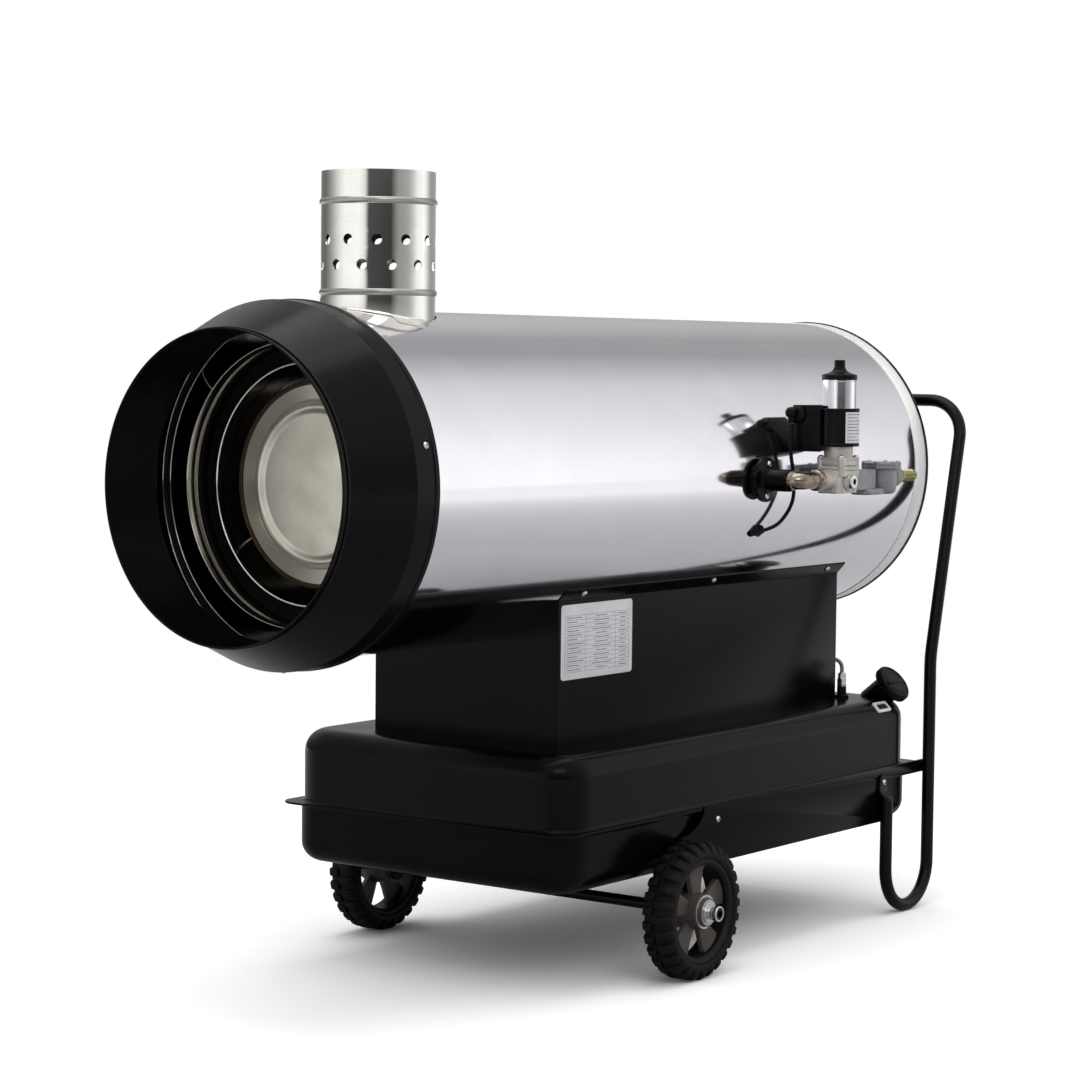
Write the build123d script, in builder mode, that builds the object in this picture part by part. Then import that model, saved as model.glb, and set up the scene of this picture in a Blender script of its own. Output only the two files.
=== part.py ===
"""Dual-fuel indirect-fired space heater on wheels.

Millimetres. +X runs from the hot-air outlet to the rear, the gas train is on the
-Y side, +Z is up. The origin is on the floor, midway along and across the heater.
"""
import os
from math import asin, cos, degrees, pi, radians, sin, sqrt, tan

from build123d import *

os.makedirs("parts", exist_ok=True)

# Overall layout: every X below is an offset from the rear edge of the outlet collar
COLLAR_X = -583.5
AXIS_Z = 683.0
RUNNING_GAP = 0.05
SEAT_GAP = 0.1
HOLE_GAP = 0.3

# Outer body
BODY_RADIUS = 225.0
BODY_SHEET = 1.0
BODY_LIP_RADIUS = 217.0
BODY_TUCK = 34.0
BODY_REAR = 1226.0
BAND_START = 1209.0
BAND_END = 1242.0
BAND_SHEET = 1.2

# Hot-air outlet
MOUTH_RADIUS = 198.5
COLLAR_RADIUS = 235.4
COLLAR_SHEET = 1.5
MOUTH_OFFSET = -140.0
CONE_START = -126.0
CONE_END = -43.0
COLLAR_END = 0.0
SPIGOT_END = -48.0
MOUTH_BEAD = 1.6

# Heat exchanger drum and combustion chamber
DRUM_RADIUS = 184.0
DRUM_INNER_RADIUS = 155.0
DRUM_SHEET = 1.5
DRUM_FRONT = -5.0
DRUM_PLATE = 37.0
DRUM_INNER_FRONT = 22.0
DRUM_REAR = 700.0
DRUM_BEAD_X = 14.0
DRUM_BEAD = 4.0
PORT_RADIUS = 38.0
PORT_OFFSET = 620.0
CHAMBER_RADIUS = 131.5
CHAMBER_FRONT = 46.0
CHAMBER_REAR = 830.0
CHAMBER_SHEET = 1.5
DISC_RADIUS = 134.5
DISC_RING_INNER = 92.0
DISC_RING_OUTER = 108.0
DISC_RING_HEIGHT = 4.0
STRAP_WIDTH = 24.0
STRAP_SHEET = 2.0

# Flue
FLUE_OFFSET = 163.0
FLUE_RADIUS = 75.0
FLUE_SHEET = 0.8
FLUE_TOP = 1088.5
FLUE_BEADS = (1049.0, 931.0)
FLUE_BEAD = 2.4
FLUE_HOLE_RADIUS = 7.0
FLUE_HOLE_ROWS = (998.6, 966.2)
FLUE_HOLES = 12
FLUE_HOLE_TURN = 8.0
SADDLE_WIDTH = 27.0
SADDLE_COLLAR = 16.0

# Burner
BURNER_RADIUS = 58.0
BURNER_SHEET = 2.0
BURNER_START = 772.0
BURNER_END = 985.0
SWIRLER_OFFSET = 800.0
SPIDER_OFFSET = 905.0
GAS_PIPE_RADIUS = 10.0

# Fan, motor and guard
FAN_OFFSET = 1045.0
FAN_RADIUS = 205.0
FAN_HUB_RADIUS = 55.0
FAN_DEPTH = 46.0
FAN_BLADES = 7
BLADE_ANGLE = 36.0
BLADE_SHEET = 3.0
SHAFT_RADIUS = 7.0
MOTOR_RADIUS = 60.0
MOTOR_START = 1104.0
GUARD_OFFSET = 1236.0
GUARD_WIRE = 1.8
GUARD_RINGS = 7
GUARD_SPOKES = 6
GUARD_PLATE_RADIUS = 52.0
GUARD_PLATE = 3.0
GUARD_RIM = 5.0
GUARD_RIM_RADIUS = 228.0
GUARD_RIM_INNER = 213.0

# Burner box under the body
BOX_START = 355.0
BOX_END = 1087.0
BOX_HALF = 159.0
BOX_SHEET = 1.5
LIP_REACH = 173.0
PLATE_START = 361.0
PLATE_LENGTH = 168.0
PLATE_HEIGHT = 102.0
PLATE_TOP = 516.0
PLATE_SHEET = 0.5

# Controls on the far side of the box
CONTROL_OFFSET = 940.0
CONTROL_Z = 430.0
SWITCH_RADIUS = 17.0
SWITCH_WIDTH = 22.0
SWITCH_SPACING = 50.0
KNOB_RADIUS = 16.0
KNOB_HEIGHT = 17.0
KNOB_SHAFT = 3.0
BUTTON_RADIUS = 8.0
BUTTON_TRAVEL = 3.0
SWITCH_DEPTH = 8.0
KNOB_SHAFT_LENGTH = 14.0
BUTTON_SEAT = 8.0
UNIT_DEPTH = 90.0
UNIT_MARGIN = 32.0
MAINS_GLAND_RADIUS = 8.0
GLAND_Z = 362.0
GLAND_Y = 95.0

# Pump and transformer on the floor of the box
PUMP_OFFSET = 995.0
PUMP_Y = -113.0
PUMP_LENGTH = 90.0
PUMP_WIDTH = 86.0
PUMP_HEIGHT = 78.0
PUMP_MOTOR_RADIUS = 36.0
PUMP_MOTOR_LENGTH = 120.0
TRANSFORMER_OFFSET = 640.0
TRANSFORMER_Y = 40.0
TRANSFORMER_LENGTH = 95.0
TRANSFORMER_WIDTH = 75.0
TRANSFORMER_HEIGHT = 70.0
TERMINAL_RADIUS = 9.0

# Fuel tank
TANK_START = 260.0
TANK_END = 1196.0
TANK_HALF = 241.0
TANK_TOP = 326.0
TANK_SEAM = 223.0
TANK_BOTTOM = 140.0
TANK_SHEET = 1.5
TANK_UPPER_CORNER = 62.0
TANK_LOWER_CORNER = 52.0
TANK_TOP_FILLET = 31.0
TANK_BOTTOM_FILLET = 28.0
FLANGE_WIDTH = 9.0
FLANGE_CORNER = 26.0
FLANGE_FLARE = 6.0

# Tank fittings
NECK_OFFSET = 1160.0
NECK_Y = -191.0
NECK_Z = 323.5
NECK_TILT = 50.0
NECK_RADIUS = 21.5
NECK_WALL = 1.5
NECK_DEPTH = 26.0
NECK_LENGTH = 38.0
CAP_RADIUS = 29.5
CAP_HEIGHT = 13.0
CAP_SKIRT = 8.0
CAP_RIBS = 18
GASKET_HEIGHT = 2.0
WINDOW_OFFSET = 1104.0
WINDOW_LENGTH = 40.0
WINDOW_WIDTH = 19.0
WINDOW_DEPTH = 2.5
WINDOW_SLOPE = 45.0
PICKUP_OFFSET = 1105.0
PICKUP_Y = -160.0
PICKUP_RADIUS = 8.0
PICKUP_TOP = 366.0
FUEL_LINE_RADIUS = 3.0
FUEL_LINE_Z = 386.0
FUEL_LINE_BEND = 14.0
FUEL_LINE_TURN = 1062.0
DRAIN_OFFSET = 330.0

# Chassis plates, axle and wheels
PLATE_SIDE_SHEET = 2.3
SIDE_FRONT = 577.0
SIDE_REAR = 1100.0
SIDE_BOTTOM = 145.0
SIDE_TOP = 228.0
STRIP_END = 1208.0
STRIP_BOTTOM = 209.0
LOBE_TURN = 7.0
LOBE_END_RADIUS = 19.0
LOBE_TOP = 218.0
LOBE_MIDDLE = (22.0, 197.0)
LOBE_SHOULDER = (50.0, 188.0)
SPACER_RADIUS = 8.0
SIDE_SCREW_FRONT = 611.0
SIDE_SCREW_Z = 206.0
AXLE_OFFSET = 510.5
WHEEL_RADIUS = 95.0
AXLE_RADIUS = 8.0
AXLE_BORE = 4.8
AXLE_HALF = 323.0
WHEEL_CENTRE_Y = 277.0
TYRE_WIDTH = 47.0
TYRE_INNER = 72.0
LUG_HEIGHT = 5.0
LUGS = 28
LUG_LENGTH = 11.5
LUG_WIDTH = 18.0
LUG_INSET = 1.0
TYRE_BULGE = 2.0
RIM_WIDTH = 41.0
RIM_INNER = 64.0
RIM_LIP = 4.0
SPOKES = 5
SPOKE_ROOT = 12.0
SPOKE_WIDTH = 38.0
SPOKE_SHEET = 7.0
SPOKE_TURN = 36.0
HUB_RADIUS = 26.0
HUB_HALF = 28.0
BUSH_RADIUS = 13.0
WASHER_RADIUS = 15.0
WASHER = 2.4
SLEEVE_RADIUS = 9.4
SLEEVE_RIM = 7.0

# Handle and feet: one bent tube
TUBE_RADIUS = 9.5
FOOT_FRONT = 1072.0
FOOT_SPACING = 130.0
FOOT_BEND = 63.0
HANDLE_KNEE_Z = 388.0
HANDLE_LEAN = 95.5
HANDLE_TOP = 788.0
KNEE_BEND = 130.0
HANDLE_BEND = 60.0
TAB_START = 178.0
TAB_SHOULDER = 16.0
TAB_HALF = 11.0
TAB_SHEET = 4.0

# Gas train on the near side
GAS_OFFSET = 755.0
GAS_Z = 677.0
GAS_Y = -290.0
GAS_FLANGE_RADIUS = 32.0
GAS_FLANGE_FACE = -237.0
GAS_FLANGE_SHEET = 7.0
GAS_BOSS_RADIUS = 25.0
GAS_STUB_RADIUS = 16.0
GAS_STUB_END = -276.0
GAS_SPIGOT_RADIUS = 14.0
GAS_SPIGOT_END = -212.0
GAS_SCREW_RADIUS = 23.0
GAS_SCREW_ANGLE = 84.0
GAS_SCREW_LENGTH = 10.0
ELBOW_RADIUS = 12.5
ELBOW_BORE = 9.0
ELBOW_BEND = 13.0
ELBOW_COLLAR = 15.4
ELBOW_COLLAR_LENGTH = 13.0
VALVE_OFFSET = 862.0
VALVE_PORT_START = 808.5
VALVE_PORT_RADIUS = 14.0
VALVE_START = 831.0
VALVE_END = 891.0
VALVE_HALF = 18.0
VALVE_BOTTOM = 657.0
VALVE_TOP = 690.0
VALVE_FLANGE = 9.0
VALVE_CORNER = 5.0
TAP_RADIUS = 11.0
TAP_WALL = 4.0
TAP_STEP = 3.0
TAP_END = -318.5
TAP_Z = 674.0
BONNET_LENGTH = 50.0
BONNET_WIDTH = 44.0
BONNET_TOP = 709.0
BONNET_SCREW_X = 20.0
BONNET_SCREW_Y = 17.0
VALVE_NECK_RADIUS = 21.0
COIL_BASE = 725.0
COIL_TOP = 780.0
COIL_RADIUS = 30.0
COIL_PLATE = 3.0
STEM_RADIUS = 24.5
STEM_TOP = 821.0
CAP_DISC_RADIUS = 25.5
CAP_DISC = 8.0
CAP_CONE = 5.0
STUD_RADIUS = 8.0
STUD_TOP = 850.0
TERMINAL_START = 829.0
TERMINAL_END = 895.0
TERMINAL_FAR = -230.0
TERMINAL_NEAR = -278.0
TERMINAL_BASE = 717.0
TERMINAL_TOP = 784.0
TERMINAL_CORNER = 4.0
FILTER_OFFSET = 988.0
FILTER_RADIUS = 25.5
FILTER_FLANGE_RADIUS = 29.0
FILTER_BOTTOM = 652.0
FILTER_TOP = 694.0
FILTER_FLANGE = 4.0
FILTER_LID = 6.0
FILTER_INLET_HALF = 20.0
FILTER_INLET_END = 965.0
FILTER_INLET_TOP = 690.0
FILTER_BOSS = 14.0
FILTER_BOSS_RIM = 2.0
FILTER_OUTLET = 1026.0
FILTER_SOCKET = 12.0
NIPPLE_RADIUS = 9.5
NIPPLE_BORE = 6.0
NIPPLE_HEXAGON = 13.5
NIPPLE_END = 1083.0

# Valve cable: its route is chosen by hand, offsets from the collar
CABLE_RADIUS = 2.75
GLAND_OFFSET = 821.0
GLAND_CABLE_Y = -235.0
GLAND_CABLE_Z = 773.0
GLAND_RADIUS = 8.5
GLAND_NOZZLE = 5.5
GLAND_EXIT_Z = 757.0
GROMMET_RADIUS = 9.0
GROMMET_HEIGHT = 3.0
GROMMET_NOSE = 4.5
CABLE_ROUTE = (
    (821.0, -235.0, 756.5),
    (818.0, -235.5, 735.0),
    (817.5, -236.5, 711.0),
    (823.0, -238.0, 688.0),
    (825.0, -239.0, 664.0),
    (822.0, -238.0, 641.0),
    (809.0, -232.0, 620.0),
    (793.0, -225.0, 606.5),
    (774.0, -217.0, 602.5),
)

# Screws
SCREW_RADIUS = 2.4
SCREW_HEAD = 4.6
SCREW_HEAD_HEIGHT = 3.0
COLLAR_SCREW_OFFSET = -20.0
COLLAR_SCREW_ANGLES = (14.0, 166.0, 270.0)
LIP_SCREW_OFFSETS = (401.0, 722.0, 1041.0)
LIP_SCREW_Y = 168.0

BODY_AXIS = Axis((0, 0, AXIS_Z), (1, 0, 0))
BODY_PLANE = Plane(origin=(0, 0, AXIS_Z), x_dir=(1, 0, 0), z_dir=(0, -1, 0))


def along(offset):
    """X of a point this far behind the rear edge of the outlet collar."""
    return COLLAR_X + offset


def across(offset):
    """Plane square to the body axis, local X along +Y and local Y along +Z."""
    return Plane(origin=(along(offset), 0, AXIS_Z), x_dir=(0, 1, 0), z_dir=(1, 0, 0))


def radial(offset, angle, radius):
    """Plane on a circle about the body axis, facing outwards; angle from +Y."""
    turn = radians(angle)
    spot = (along(offset), radius * cos(turn), AXIS_Z + radius * sin(turn))
    return Plane(origin=spot, x_dir=(1, 0, 0), z_dir=(0, cos(turn), sin(turn)))


def sideways(offset, y, z, facing=-1):
    """Plane facing along Y at one point, local X along X."""
    return Plane(origin=(along(offset), y, z), x_dir=(1, 0, 0), z_dir=(0, facing, 0))


def forward(offset, y, z, facing=1):
    """Plane facing along X at one point."""
    return Plane(origin=(along(offset), y, z), x_dir=(0, 1, 0), z_dir=(facing, 0, 0))


def ring(plane, outer, inner, length):
    """A tube or washer standing on a plane, in the part being built."""
    with BuildSketch(plane) as outline:
        Circle(outer)
        if inner > 0:
            Circle(inner, mode=Mode.SUBTRACT)
    extrude(outline.sketch, amount=length)


def bore(plane, radius, length):
    """A round hole cut both ways from a plane."""
    with BuildSketch(plane) as outline:
        Circle(radius)
    extrude(outline.sketch, amount=length, both=True, mode=Mode.SUBTRACT)


def turned(points, axis=BODY_AXIS, plane=BODY_PLANE, mode=Mode.ADD):
    """Turn a closed outline about an axis; points are X and radius."""
    with BuildSketch(plane) as outline:
        with BuildLine():
            Polyline(*points, close=True)
        make_face()
    revolve(outline.sketch, axis=axis, mode=mode)


def screw(plane, shank):
    """One cross-head screw: its head stands on the plane, its shank goes into it."""
    ring(plane, SCREW_HEAD, 0, SCREW_HEAD_HEIGHT)
    ring(plane, SCREW_RADIUS, 0, -shank)
    with BuildSketch(plane.offset(SCREW_HEAD_HEIGHT)) as cross:
        Rectangle(SCREW_HEAD * 1.3, SCREW_HEAD * 0.22)
        Rectangle(SCREW_HEAD * 0.22, SCREW_HEAD * 1.3)
    extrude(cross.sketch, amount=-SCREW_HEAD_HEIGHT * 0.4, mode=Mode.SUBTRACT)


def save(piece, name):
    """Label a finished piece and write its own file."""
    piece.part.label = name
    export_step(piece.part, f"parts/{name}.step")


def lip_angle(y):
    """Angle from +Y, on the lower half of the body, of a point at this Y."""
    return -degrees(asin(sqrt(LIP_RADIUS ** 2 - y ** 2) / LIP_RADIUS))


# Places that follow from the sizes above
FLUE_X = along(FLUE_OFFSET)
FLUE_PLANE = Plane(origin=(FLUE_X, 0, AXIS_Z))
FLUE_BOTTOM = AXIS_Z + sqrt(DRUM_RADIUS ** 2 - FLUE_RADIUS ** 2) - 2 * DRUM_SHEET
LIP_RADIUS = BODY_RADIUS + SEAT_GAP + BOX_SHEET
BOX_BASE = TANK_TOP + SEAT_GAP
FLOOR_TOP = BOX_BASE + BOX_SHEET + SEAT_GAP
BEND_Z = AXIS_Z - sqrt((BODY_RADIUS + SEAT_GAP) ** 2 - (BOX_HALF - BOX_SHEET) ** 2)
CONTROL_FACE = BOX_HALF - BOX_SHEET - SEAT_GAP
SWITCH_PIVOT_Y = CONTROL_FACE - SWITCH_DEPTH
SWITCH_OPENING = 2 * (sqrt(SWITCH_RADIUS ** 2 - SWITCH_DEPTH ** 2) + 2 * HOLE_GAP)
CONTROL_HOLES = (
    (sideways(CONTROL_OFFSET, BOX_HALF, CONTROL_Z, 1), KNOB_SHAFT + HOLE_GAP),
    (sideways(CONTROL_OFFSET + SWITCH_SPACING, BOX_HALF, CONTROL_Z, 1), BUTTON_RADIUS + HOLE_GAP),
)
FUEL_LINE_SLOPE = (PICKUP_Y - PUMP_Y) / (PICKUP_OFFSET - FUEL_LINE_TURN)
FUEL_LINE_PLANE = Plane(
    origin=(along(BOX_END), PICKUP_Y + (BOX_END - PICKUP_OFFSET) * FUEL_LINE_SLOPE, FUEL_LINE_Z),
    z_dir=(1, FUEL_LINE_SLOPE, 0),
)
AXLE_X = along(AXLE_OFFSET)
SIDE_INNER = TANK_HALF + FLANGE_WIDTH + SEAT_GAP
SIDE_OUTER = SIDE_INNER + PLATE_SIDE_SHEET
TUBE_Y = SIDE_OUTER + TUBE_RADIUS + SEAT_GAP
BONNET_PLANE = Plane(origin=(along(VALVE_OFFSET), GAS_Y, VALVE_TOP + SEAT_GAP))
BONNET_SCREWS = [
    (x_side * BONNET_SCREW_X, y_side * BONNET_SCREW_Y) for x_side in (-1, 1) for y_side in (-1, 1)
]

# Outer body: a rolled stainless cylinder with a ring inside its front and holes for flue,
# gas pipe, cable and screws
with BuildPart() as body_shell:
    ring(across(-BODY_TUCK), BODY_RADIUS, BODY_RADIUS - BODY_SHEET, BODY_REAR + BODY_TUCK)
    ring(across(0), BODY_RADIUS - BODY_SHEET / 2, BODY_LIP_RADIUS, BODY_SHEET)
    with BuildSketch(FLUE_PLANE):
        Circle(FLUE_RADIUS + 2.0)
    extrude(amount=BODY_RADIUS * 1.1, mode=Mode.SUBTRACT)
    bore(sideways(GAS_OFFSET, -BODY_RADIUS, GAS_Z), GAS_SPIGOT_RADIUS + HOLE_GAP, 20)
    cable_end = CABLE_ROUTE[-1]
    grommet_angle = 180 + degrees(asin((AXIS_Z - cable_end[2]) / BODY_RADIUS))
    grommet_plane = radial(cable_end[0], grommet_angle, BODY_RADIUS)
    bore(grommet_plane, 2 * CABLE_RADIUS + HOLE_GAP, 8)
    for angle in COLLAR_SCREW_ANGLES:
        bore(radial(COLLAR_SCREW_OFFSET, angle, BODY_RADIUS), SCREW_RADIUS + HOLE_GAP, 4)
    for offset in LIP_SCREW_OFFSETS:
        for angle in (lip_angle(LIP_SCREW_Y), 180 - lip_angle(LIP_SCREW_Y)):
            bore(radial(offset, angle, BODY_RADIUS), SCREW_RADIUS + HOLE_GAP, 4)
save(body_shell, "body_shell")

# Rear band: a second stainless ring round the rear edge
with BuildPart() as rear_band:
    band_inner = BODY_RADIUS + SEAT_GAP
    ring(across(BAND_START), band_inner + BAND_SHEET, band_inner, BAND_END - BAND_START)
save(rear_band, "rear_band")

# Outlet cone: pressed black collar from the body down to the outlet spigot
with BuildPart() as outlet_cone:
    cone_tip = MOUTH_RADIUS + SEAT_GAP
    turned(
        (
            (along(CONE_START) - 4, cone_tip),
            (along(CONE_START) - 4, cone_tip + COLLAR_SHEET),
            (along(CONE_START), cone_tip + COLLAR_SHEET),
            (along(CONE_END), COLLAR_RADIUS),
            (along(COLLAR_END) - 8, COLLAR_RADIUS),
            (along(COLLAR_END) - 8, COLLAR_RADIUS + 1.4),
            (along(COLLAR_END), COLLAR_RADIUS + 1.4),
            (along(COLLAR_END), BODY_RADIUS + SEAT_GAP),
            (along(COLLAR_END) - COLLAR_SHEET, BODY_RADIUS + SEAT_GAP),
            (along(COLLAR_END) - COLLAR_SHEET, COLLAR_RADIUS - COLLAR_SHEET),
            (along(CONE_END), COLLAR_RADIUS - COLLAR_SHEET),
            (along(CONE_START), cone_tip),
        )
    )
    for angle in COLLAR_SCREW_ANGLES:
        bore(radial(COLLAR_SCREW_OFFSET, angle, COLLAR_RADIUS), SCREW_RADIUS + HOLE_GAP, 4)
save(outlet_cone, "outlet_cone")

# Outlet spigot: the tube a hot-air hose is clamped over, with a rolled front edge
with BuildPart() as outlet_spigot:
    ring(across(MOUTH_OFFSET), MOUTH_RADIUS, MOUTH_RADIUS - COLLAR_SHEET, SPIGOT_END - MOUTH_OFFSET)
    with BuildSketch(BODY_PLANE):
        with Locations((along(MOUTH_OFFSET) + MOUTH_BEAD, MOUTH_RADIUS - COLLAR_SHEET / 2)):
            Circle(MOUTH_BEAD)
    revolve(axis=BODY_AXIS)
save(outlet_spigot, "outlet_spigot")

# Heat exchanger: a closed ring-shaped drum; hot gas enters at the port and leaves by the flue
with BuildPart() as exchanger_drum:
    ring(across(DRUM_FRONT), DRUM_RADIUS, DRUM_RADIUS - DRUM_SHEET, DRUM_REAR - DRUM_FRONT)
    ring(
        across(DRUM_INNER_FRONT),
        DRUM_INNER_RADIUS + DRUM_SHEET,
        DRUM_INNER_RADIUS,
        DRUM_REAR - DRUM_INNER_FRONT,
    )
    for start in (DRUM_PLATE, DRUM_REAR - DRUM_SHEET):
        ring(across(start), DRUM_RADIUS - DRUM_SHEET / 2, DRUM_INNER_RADIUS + DRUM_SHEET / 2, DRUM_SHEET)
    with BuildSketch(BODY_PLANE):
        with Locations((along(DRUM_BEAD_X), DRUM_RADIUS - DRUM_SHEET)):
            Circle(DRUM_BEAD)
    revolve(axis=BODY_AXIS)
    for start in (DRUM_PLATE + 40, DRUM_REAR - 60):
        for angle in (30, 150, 270):
            strap = radial(start, angle, DRUM_RADIUS - DRUM_SHEET / 2)
            with BuildSketch(strap):
                Rectangle(STRAP_WIDTH, STRAP_SHEET)
            extrude(amount=BODY_RADIUS - BODY_SHEET - 2 * SEAT_GAP - DRUM_RADIUS + DRUM_SHEET / 2)
    with BuildSketch(Plane(origin=(along(PORT_OFFSET), 0, AXIS_Z), z_dir=(0, 0, -1))):
        Circle(PORT_RADIUS)
    extrude(amount=DRUM_INNER_RADIUS + DRUM_SHEET / 2)
    with BuildSketch(Plane(origin=(along(PORT_OFFSET), 0, AXIS_Z), z_dir=(0, 0, -1))):
        Circle(PORT_RADIUS - DRUM_SHEET)
    extrude(amount=DRUM_INNER_RADIUS + 3 * DRUM_SHEET, mode=Mode.SUBTRACT)
    ring_cut = across(PORT_OFFSET - 2 * PORT_RADIUS)
    with BuildSketch(ring_cut):
        Circle(CHAMBER_RADIUS + SEAT_GAP)
    extrude(amount=4 * PORT_RADIUS, mode=Mode.SUBTRACT)
    with BuildSketch(FLUE_PLANE.offset(DRUM_INNER_RADIUS + 2 * DRUM_SHEET)):
        Circle(FLUE_RADIUS + SEAT_GAP)
    extrude(amount=BODY_RADIUS - DRUM_INNER_RADIUS, mode=Mode.SUBTRACT)
save(exchanger_drum, "exchanger_drum")

# Combustion chamber: a cylinder with a rear plate that carries the burner
with BuildPart() as combustion_chamber:
    chamber_length = CHAMBER_REAR - CHAMBER_FRONT
    ring(across(CHAMBER_FRONT), CHAMBER_RADIUS, CHAMBER_RADIUS - CHAMBER_SHEET, chamber_length)
    ring(
        across(CHAMBER_REAR - CHAMBER_SHEET),
        CHAMBER_RADIUS - CHAMBER_SHEET / 2,
        BURNER_RADIUS + SEAT_GAP,
        CHAMBER_SHEET,
    )
    for start in (CHAMBER_FRONT + 30, CHAMBER_REAR - 180):
        for angle in (90, 210, 330):
            with BuildSketch(radial(start, angle, CHAMBER_RADIUS - CHAMBER_SHEET / 2)):
                Rectangle(STRAP_WIDTH, STRAP_SHEET)
            extrude(amount=DRUM_INNER_RADIUS - 2 * SEAT_GAP - CHAMBER_RADIUS + CHAMBER_SHEET / 2)
    with BuildSketch(Plane(origin=(along(PORT_OFFSET), 0, AXIS_Z), z_dir=(0, 0, -1))):
        Circle(PORT_RADIUS - DRUM_SHEET)
    extrude(amount=CHAMBER_RADIUS * 1.2, mode=Mode.SUBTRACT)
save(combustion_chamber, "combustion_chamber")

# Chamber disc: pressed front plate with one raised ring and a rolled edge
with BuildPart() as chamber_disc:
    disc_back = along(CHAMBER_FRONT)
    disc_front = disc_back - CHAMBER_SHEET
    ring_slope = 3.0
    turned(
        (
            (disc_back, 0),
            (disc_back, DISC_RING_INNER - ring_slope),
            (disc_back - DISC_RING_HEIGHT, DISC_RING_INNER),
            (disc_back - DISC_RING_HEIGHT, DISC_RING_OUTER),
            (disc_back, DISC_RING_OUTER + ring_slope),
            (disc_back, DISC_RADIUS),
            (disc_front - 2, DISC_RADIUS),
            (disc_front - 2, DISC_RADIUS - CHAMBER_SHEET),
            (disc_front, DISC_RADIUS - CHAMBER_SHEET),
            (disc_front, DISC_RING_OUTER + ring_slope),
            (disc_front - DISC_RING_HEIGHT, DISC_RING_OUTER),
            (disc_front - DISC_RING_HEIGHT, DISC_RING_INNER),
            (disc_front, DISC_RING_INNER - ring_slope),
            (disc_front, 0),
        )
    )
save(chamber_disc, "chamber_disc")

# Flue pipe: stainless tube with two beads and two staggered rows of draught holes
with BuildPart() as flue_pipe:
    flue_foot = Plane(origin=(FLUE_X, 0, FLUE_BOTTOM))
    ring(flue_foot, FLUE_RADIUS, FLUE_RADIUS - FLUE_SHEET, FLUE_TOP - FLUE_BOTTOM)
    for bead_z in FLUE_BEADS:
        with BuildSketch(Plane(origin=(FLUE_X, 0, bead_z), x_dir=(1, 0, 0), z_dir=(0, -1, 0))):
            with Locations((FLUE_RADIUS - FLUE_SHEET / 2, 0)):
                Circle(FLUE_BEAD)
        revolve(axis=Axis((FLUE_X, 0, 0), (0, 0, 1)))
    for row, hole_z in enumerate(FLUE_HOLE_ROWS):
        for hole in range(FLUE_HOLES // 2):
            turn = radians(FLUE_HOLE_TURN + 360 / FLUE_HOLES * (hole + row / 2))
            facing = Plane(origin=(FLUE_X, 0, hole_z), z_dir=(cos(turn), sin(turn), 0))
            bore(facing, FLUE_HOLE_RADIUS, FLUE_RADIUS * 1.1)
save(flue_pipe, "flue_pipe")

# Flue saddle: half collar that holds the pipe and lies on the body at its front
with BuildPart() as flue_saddle:
    saddle_radius = FLUE_RADIUS + SEAT_GAP
    ring(FLUE_PLANE, saddle_radius + SADDLE_WIDTH, saddle_radius, BODY_RADIUS * 1.02)
    with BuildSketch(across(FLUE_OFFSET)):
        Circle(BODY_RADIUS + SEAT_GAP + BODY_SHEET)
    extrude(amount=2 * BODY_RADIUS, both=True, mode=Mode.INTERSECT)
    ring(FLUE_PLANE, saddle_radius + BODY_SHEET, saddle_radius, BODY_RADIUS + SADDLE_COLLAR)
    with BuildSketch(across(FLUE_OFFSET)):
        Circle(BODY_RADIUS + SEAT_GAP)
    extrude(amount=2 * BODY_RADIUS, both=True, mode=Mode.SUBTRACT)
    with BuildSketch(FLUE_PLANE):
        with Locations((-BODY_RADIUS + 40, 0)):
            Rectangle(2 * BODY_RADIUS, 2 * BODY_RADIUS)
    extrude(amount=2 * BODY_RADIUS, mode=Mode.INTERSECT)
save(flue_saddle, "flue_saddle")

# Burner tube: bolted to the rear plate of the combustion chamber
with BuildPart() as burner_tube:
    ring(across(BURNER_START), BURNER_RADIUS, BURNER_RADIUS - BURNER_SHEET, BURNER_END - BURNER_START)
    ring(across(CHAMBER_REAR), BURNER_RADIUS + 22, BURNER_RADIUS - BURNER_SHEET / 2, 3 * BURNER_SHEET)
    gas_side = Plane(origin=(along(SPIDER_OFFSET), 0, AXIS_Z), z_dir=(0, -1, 0))
    with BuildSketch(gas_side):
        Circle(GAS_PIPE_RADIUS + HOLE_GAP)
    extrude(amount=BURNER_RADIUS * 1.2, mode=Mode.SUBTRACT)
save(burner_tube, "burner_tube")

# Burner head: slotted swirl disc on its carrier rod, with the gas pipe from the side flange
with BuildPart() as burner_head:
    head_radius = BURNER_RADIUS - BURNER_SHEET - SEAT_GAP
    with BuildSketch(across(SWIRLER_OFFSET)):
        Circle(head_radius)
        with PolarLocations(head_radius * 0.62, 8):
            SlotOverall(head_radius * 0.5, 6, rotation=20, mode=Mode.SUBTRACT)
    extrude(amount=BURNER_SHEET)
    ring(across(SWIRLER_OFFSET - 14), GAS_PIPE_RADIUS, 0, SPIDER_OFFSET - SWIRLER_OFFSET + 28)
    with BuildSketch(across(SPIDER_OFFSET)):
        for turn in (60, 180, 300):
            Rectangle(2 * head_radius, 8, rotation=turn)
        Circle(head_radius, mode=Mode.INTERSECT)
    extrude(amount=3)
    with BuildLine() as gas_run:
        FilletPolyline(
            (along(GAS_OFFSET), GAS_SPIGOT_END, GAS_Z),
            (along(GAS_OFFSET), -184, GAS_Z),
            (along(SPIDER_OFFSET), -184, AXIS_Z),
            (along(SPIDER_OFFSET), 0, AXIS_Z),
            radius=24,
        )
    with BuildSketch(Plane(origin=gas_run.line @ 0, z_dir=gas_run.line % 0)):
        Circle(GAS_PIPE_RADIUS)
    sweep()
save(burner_head, "burner_head")

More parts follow.
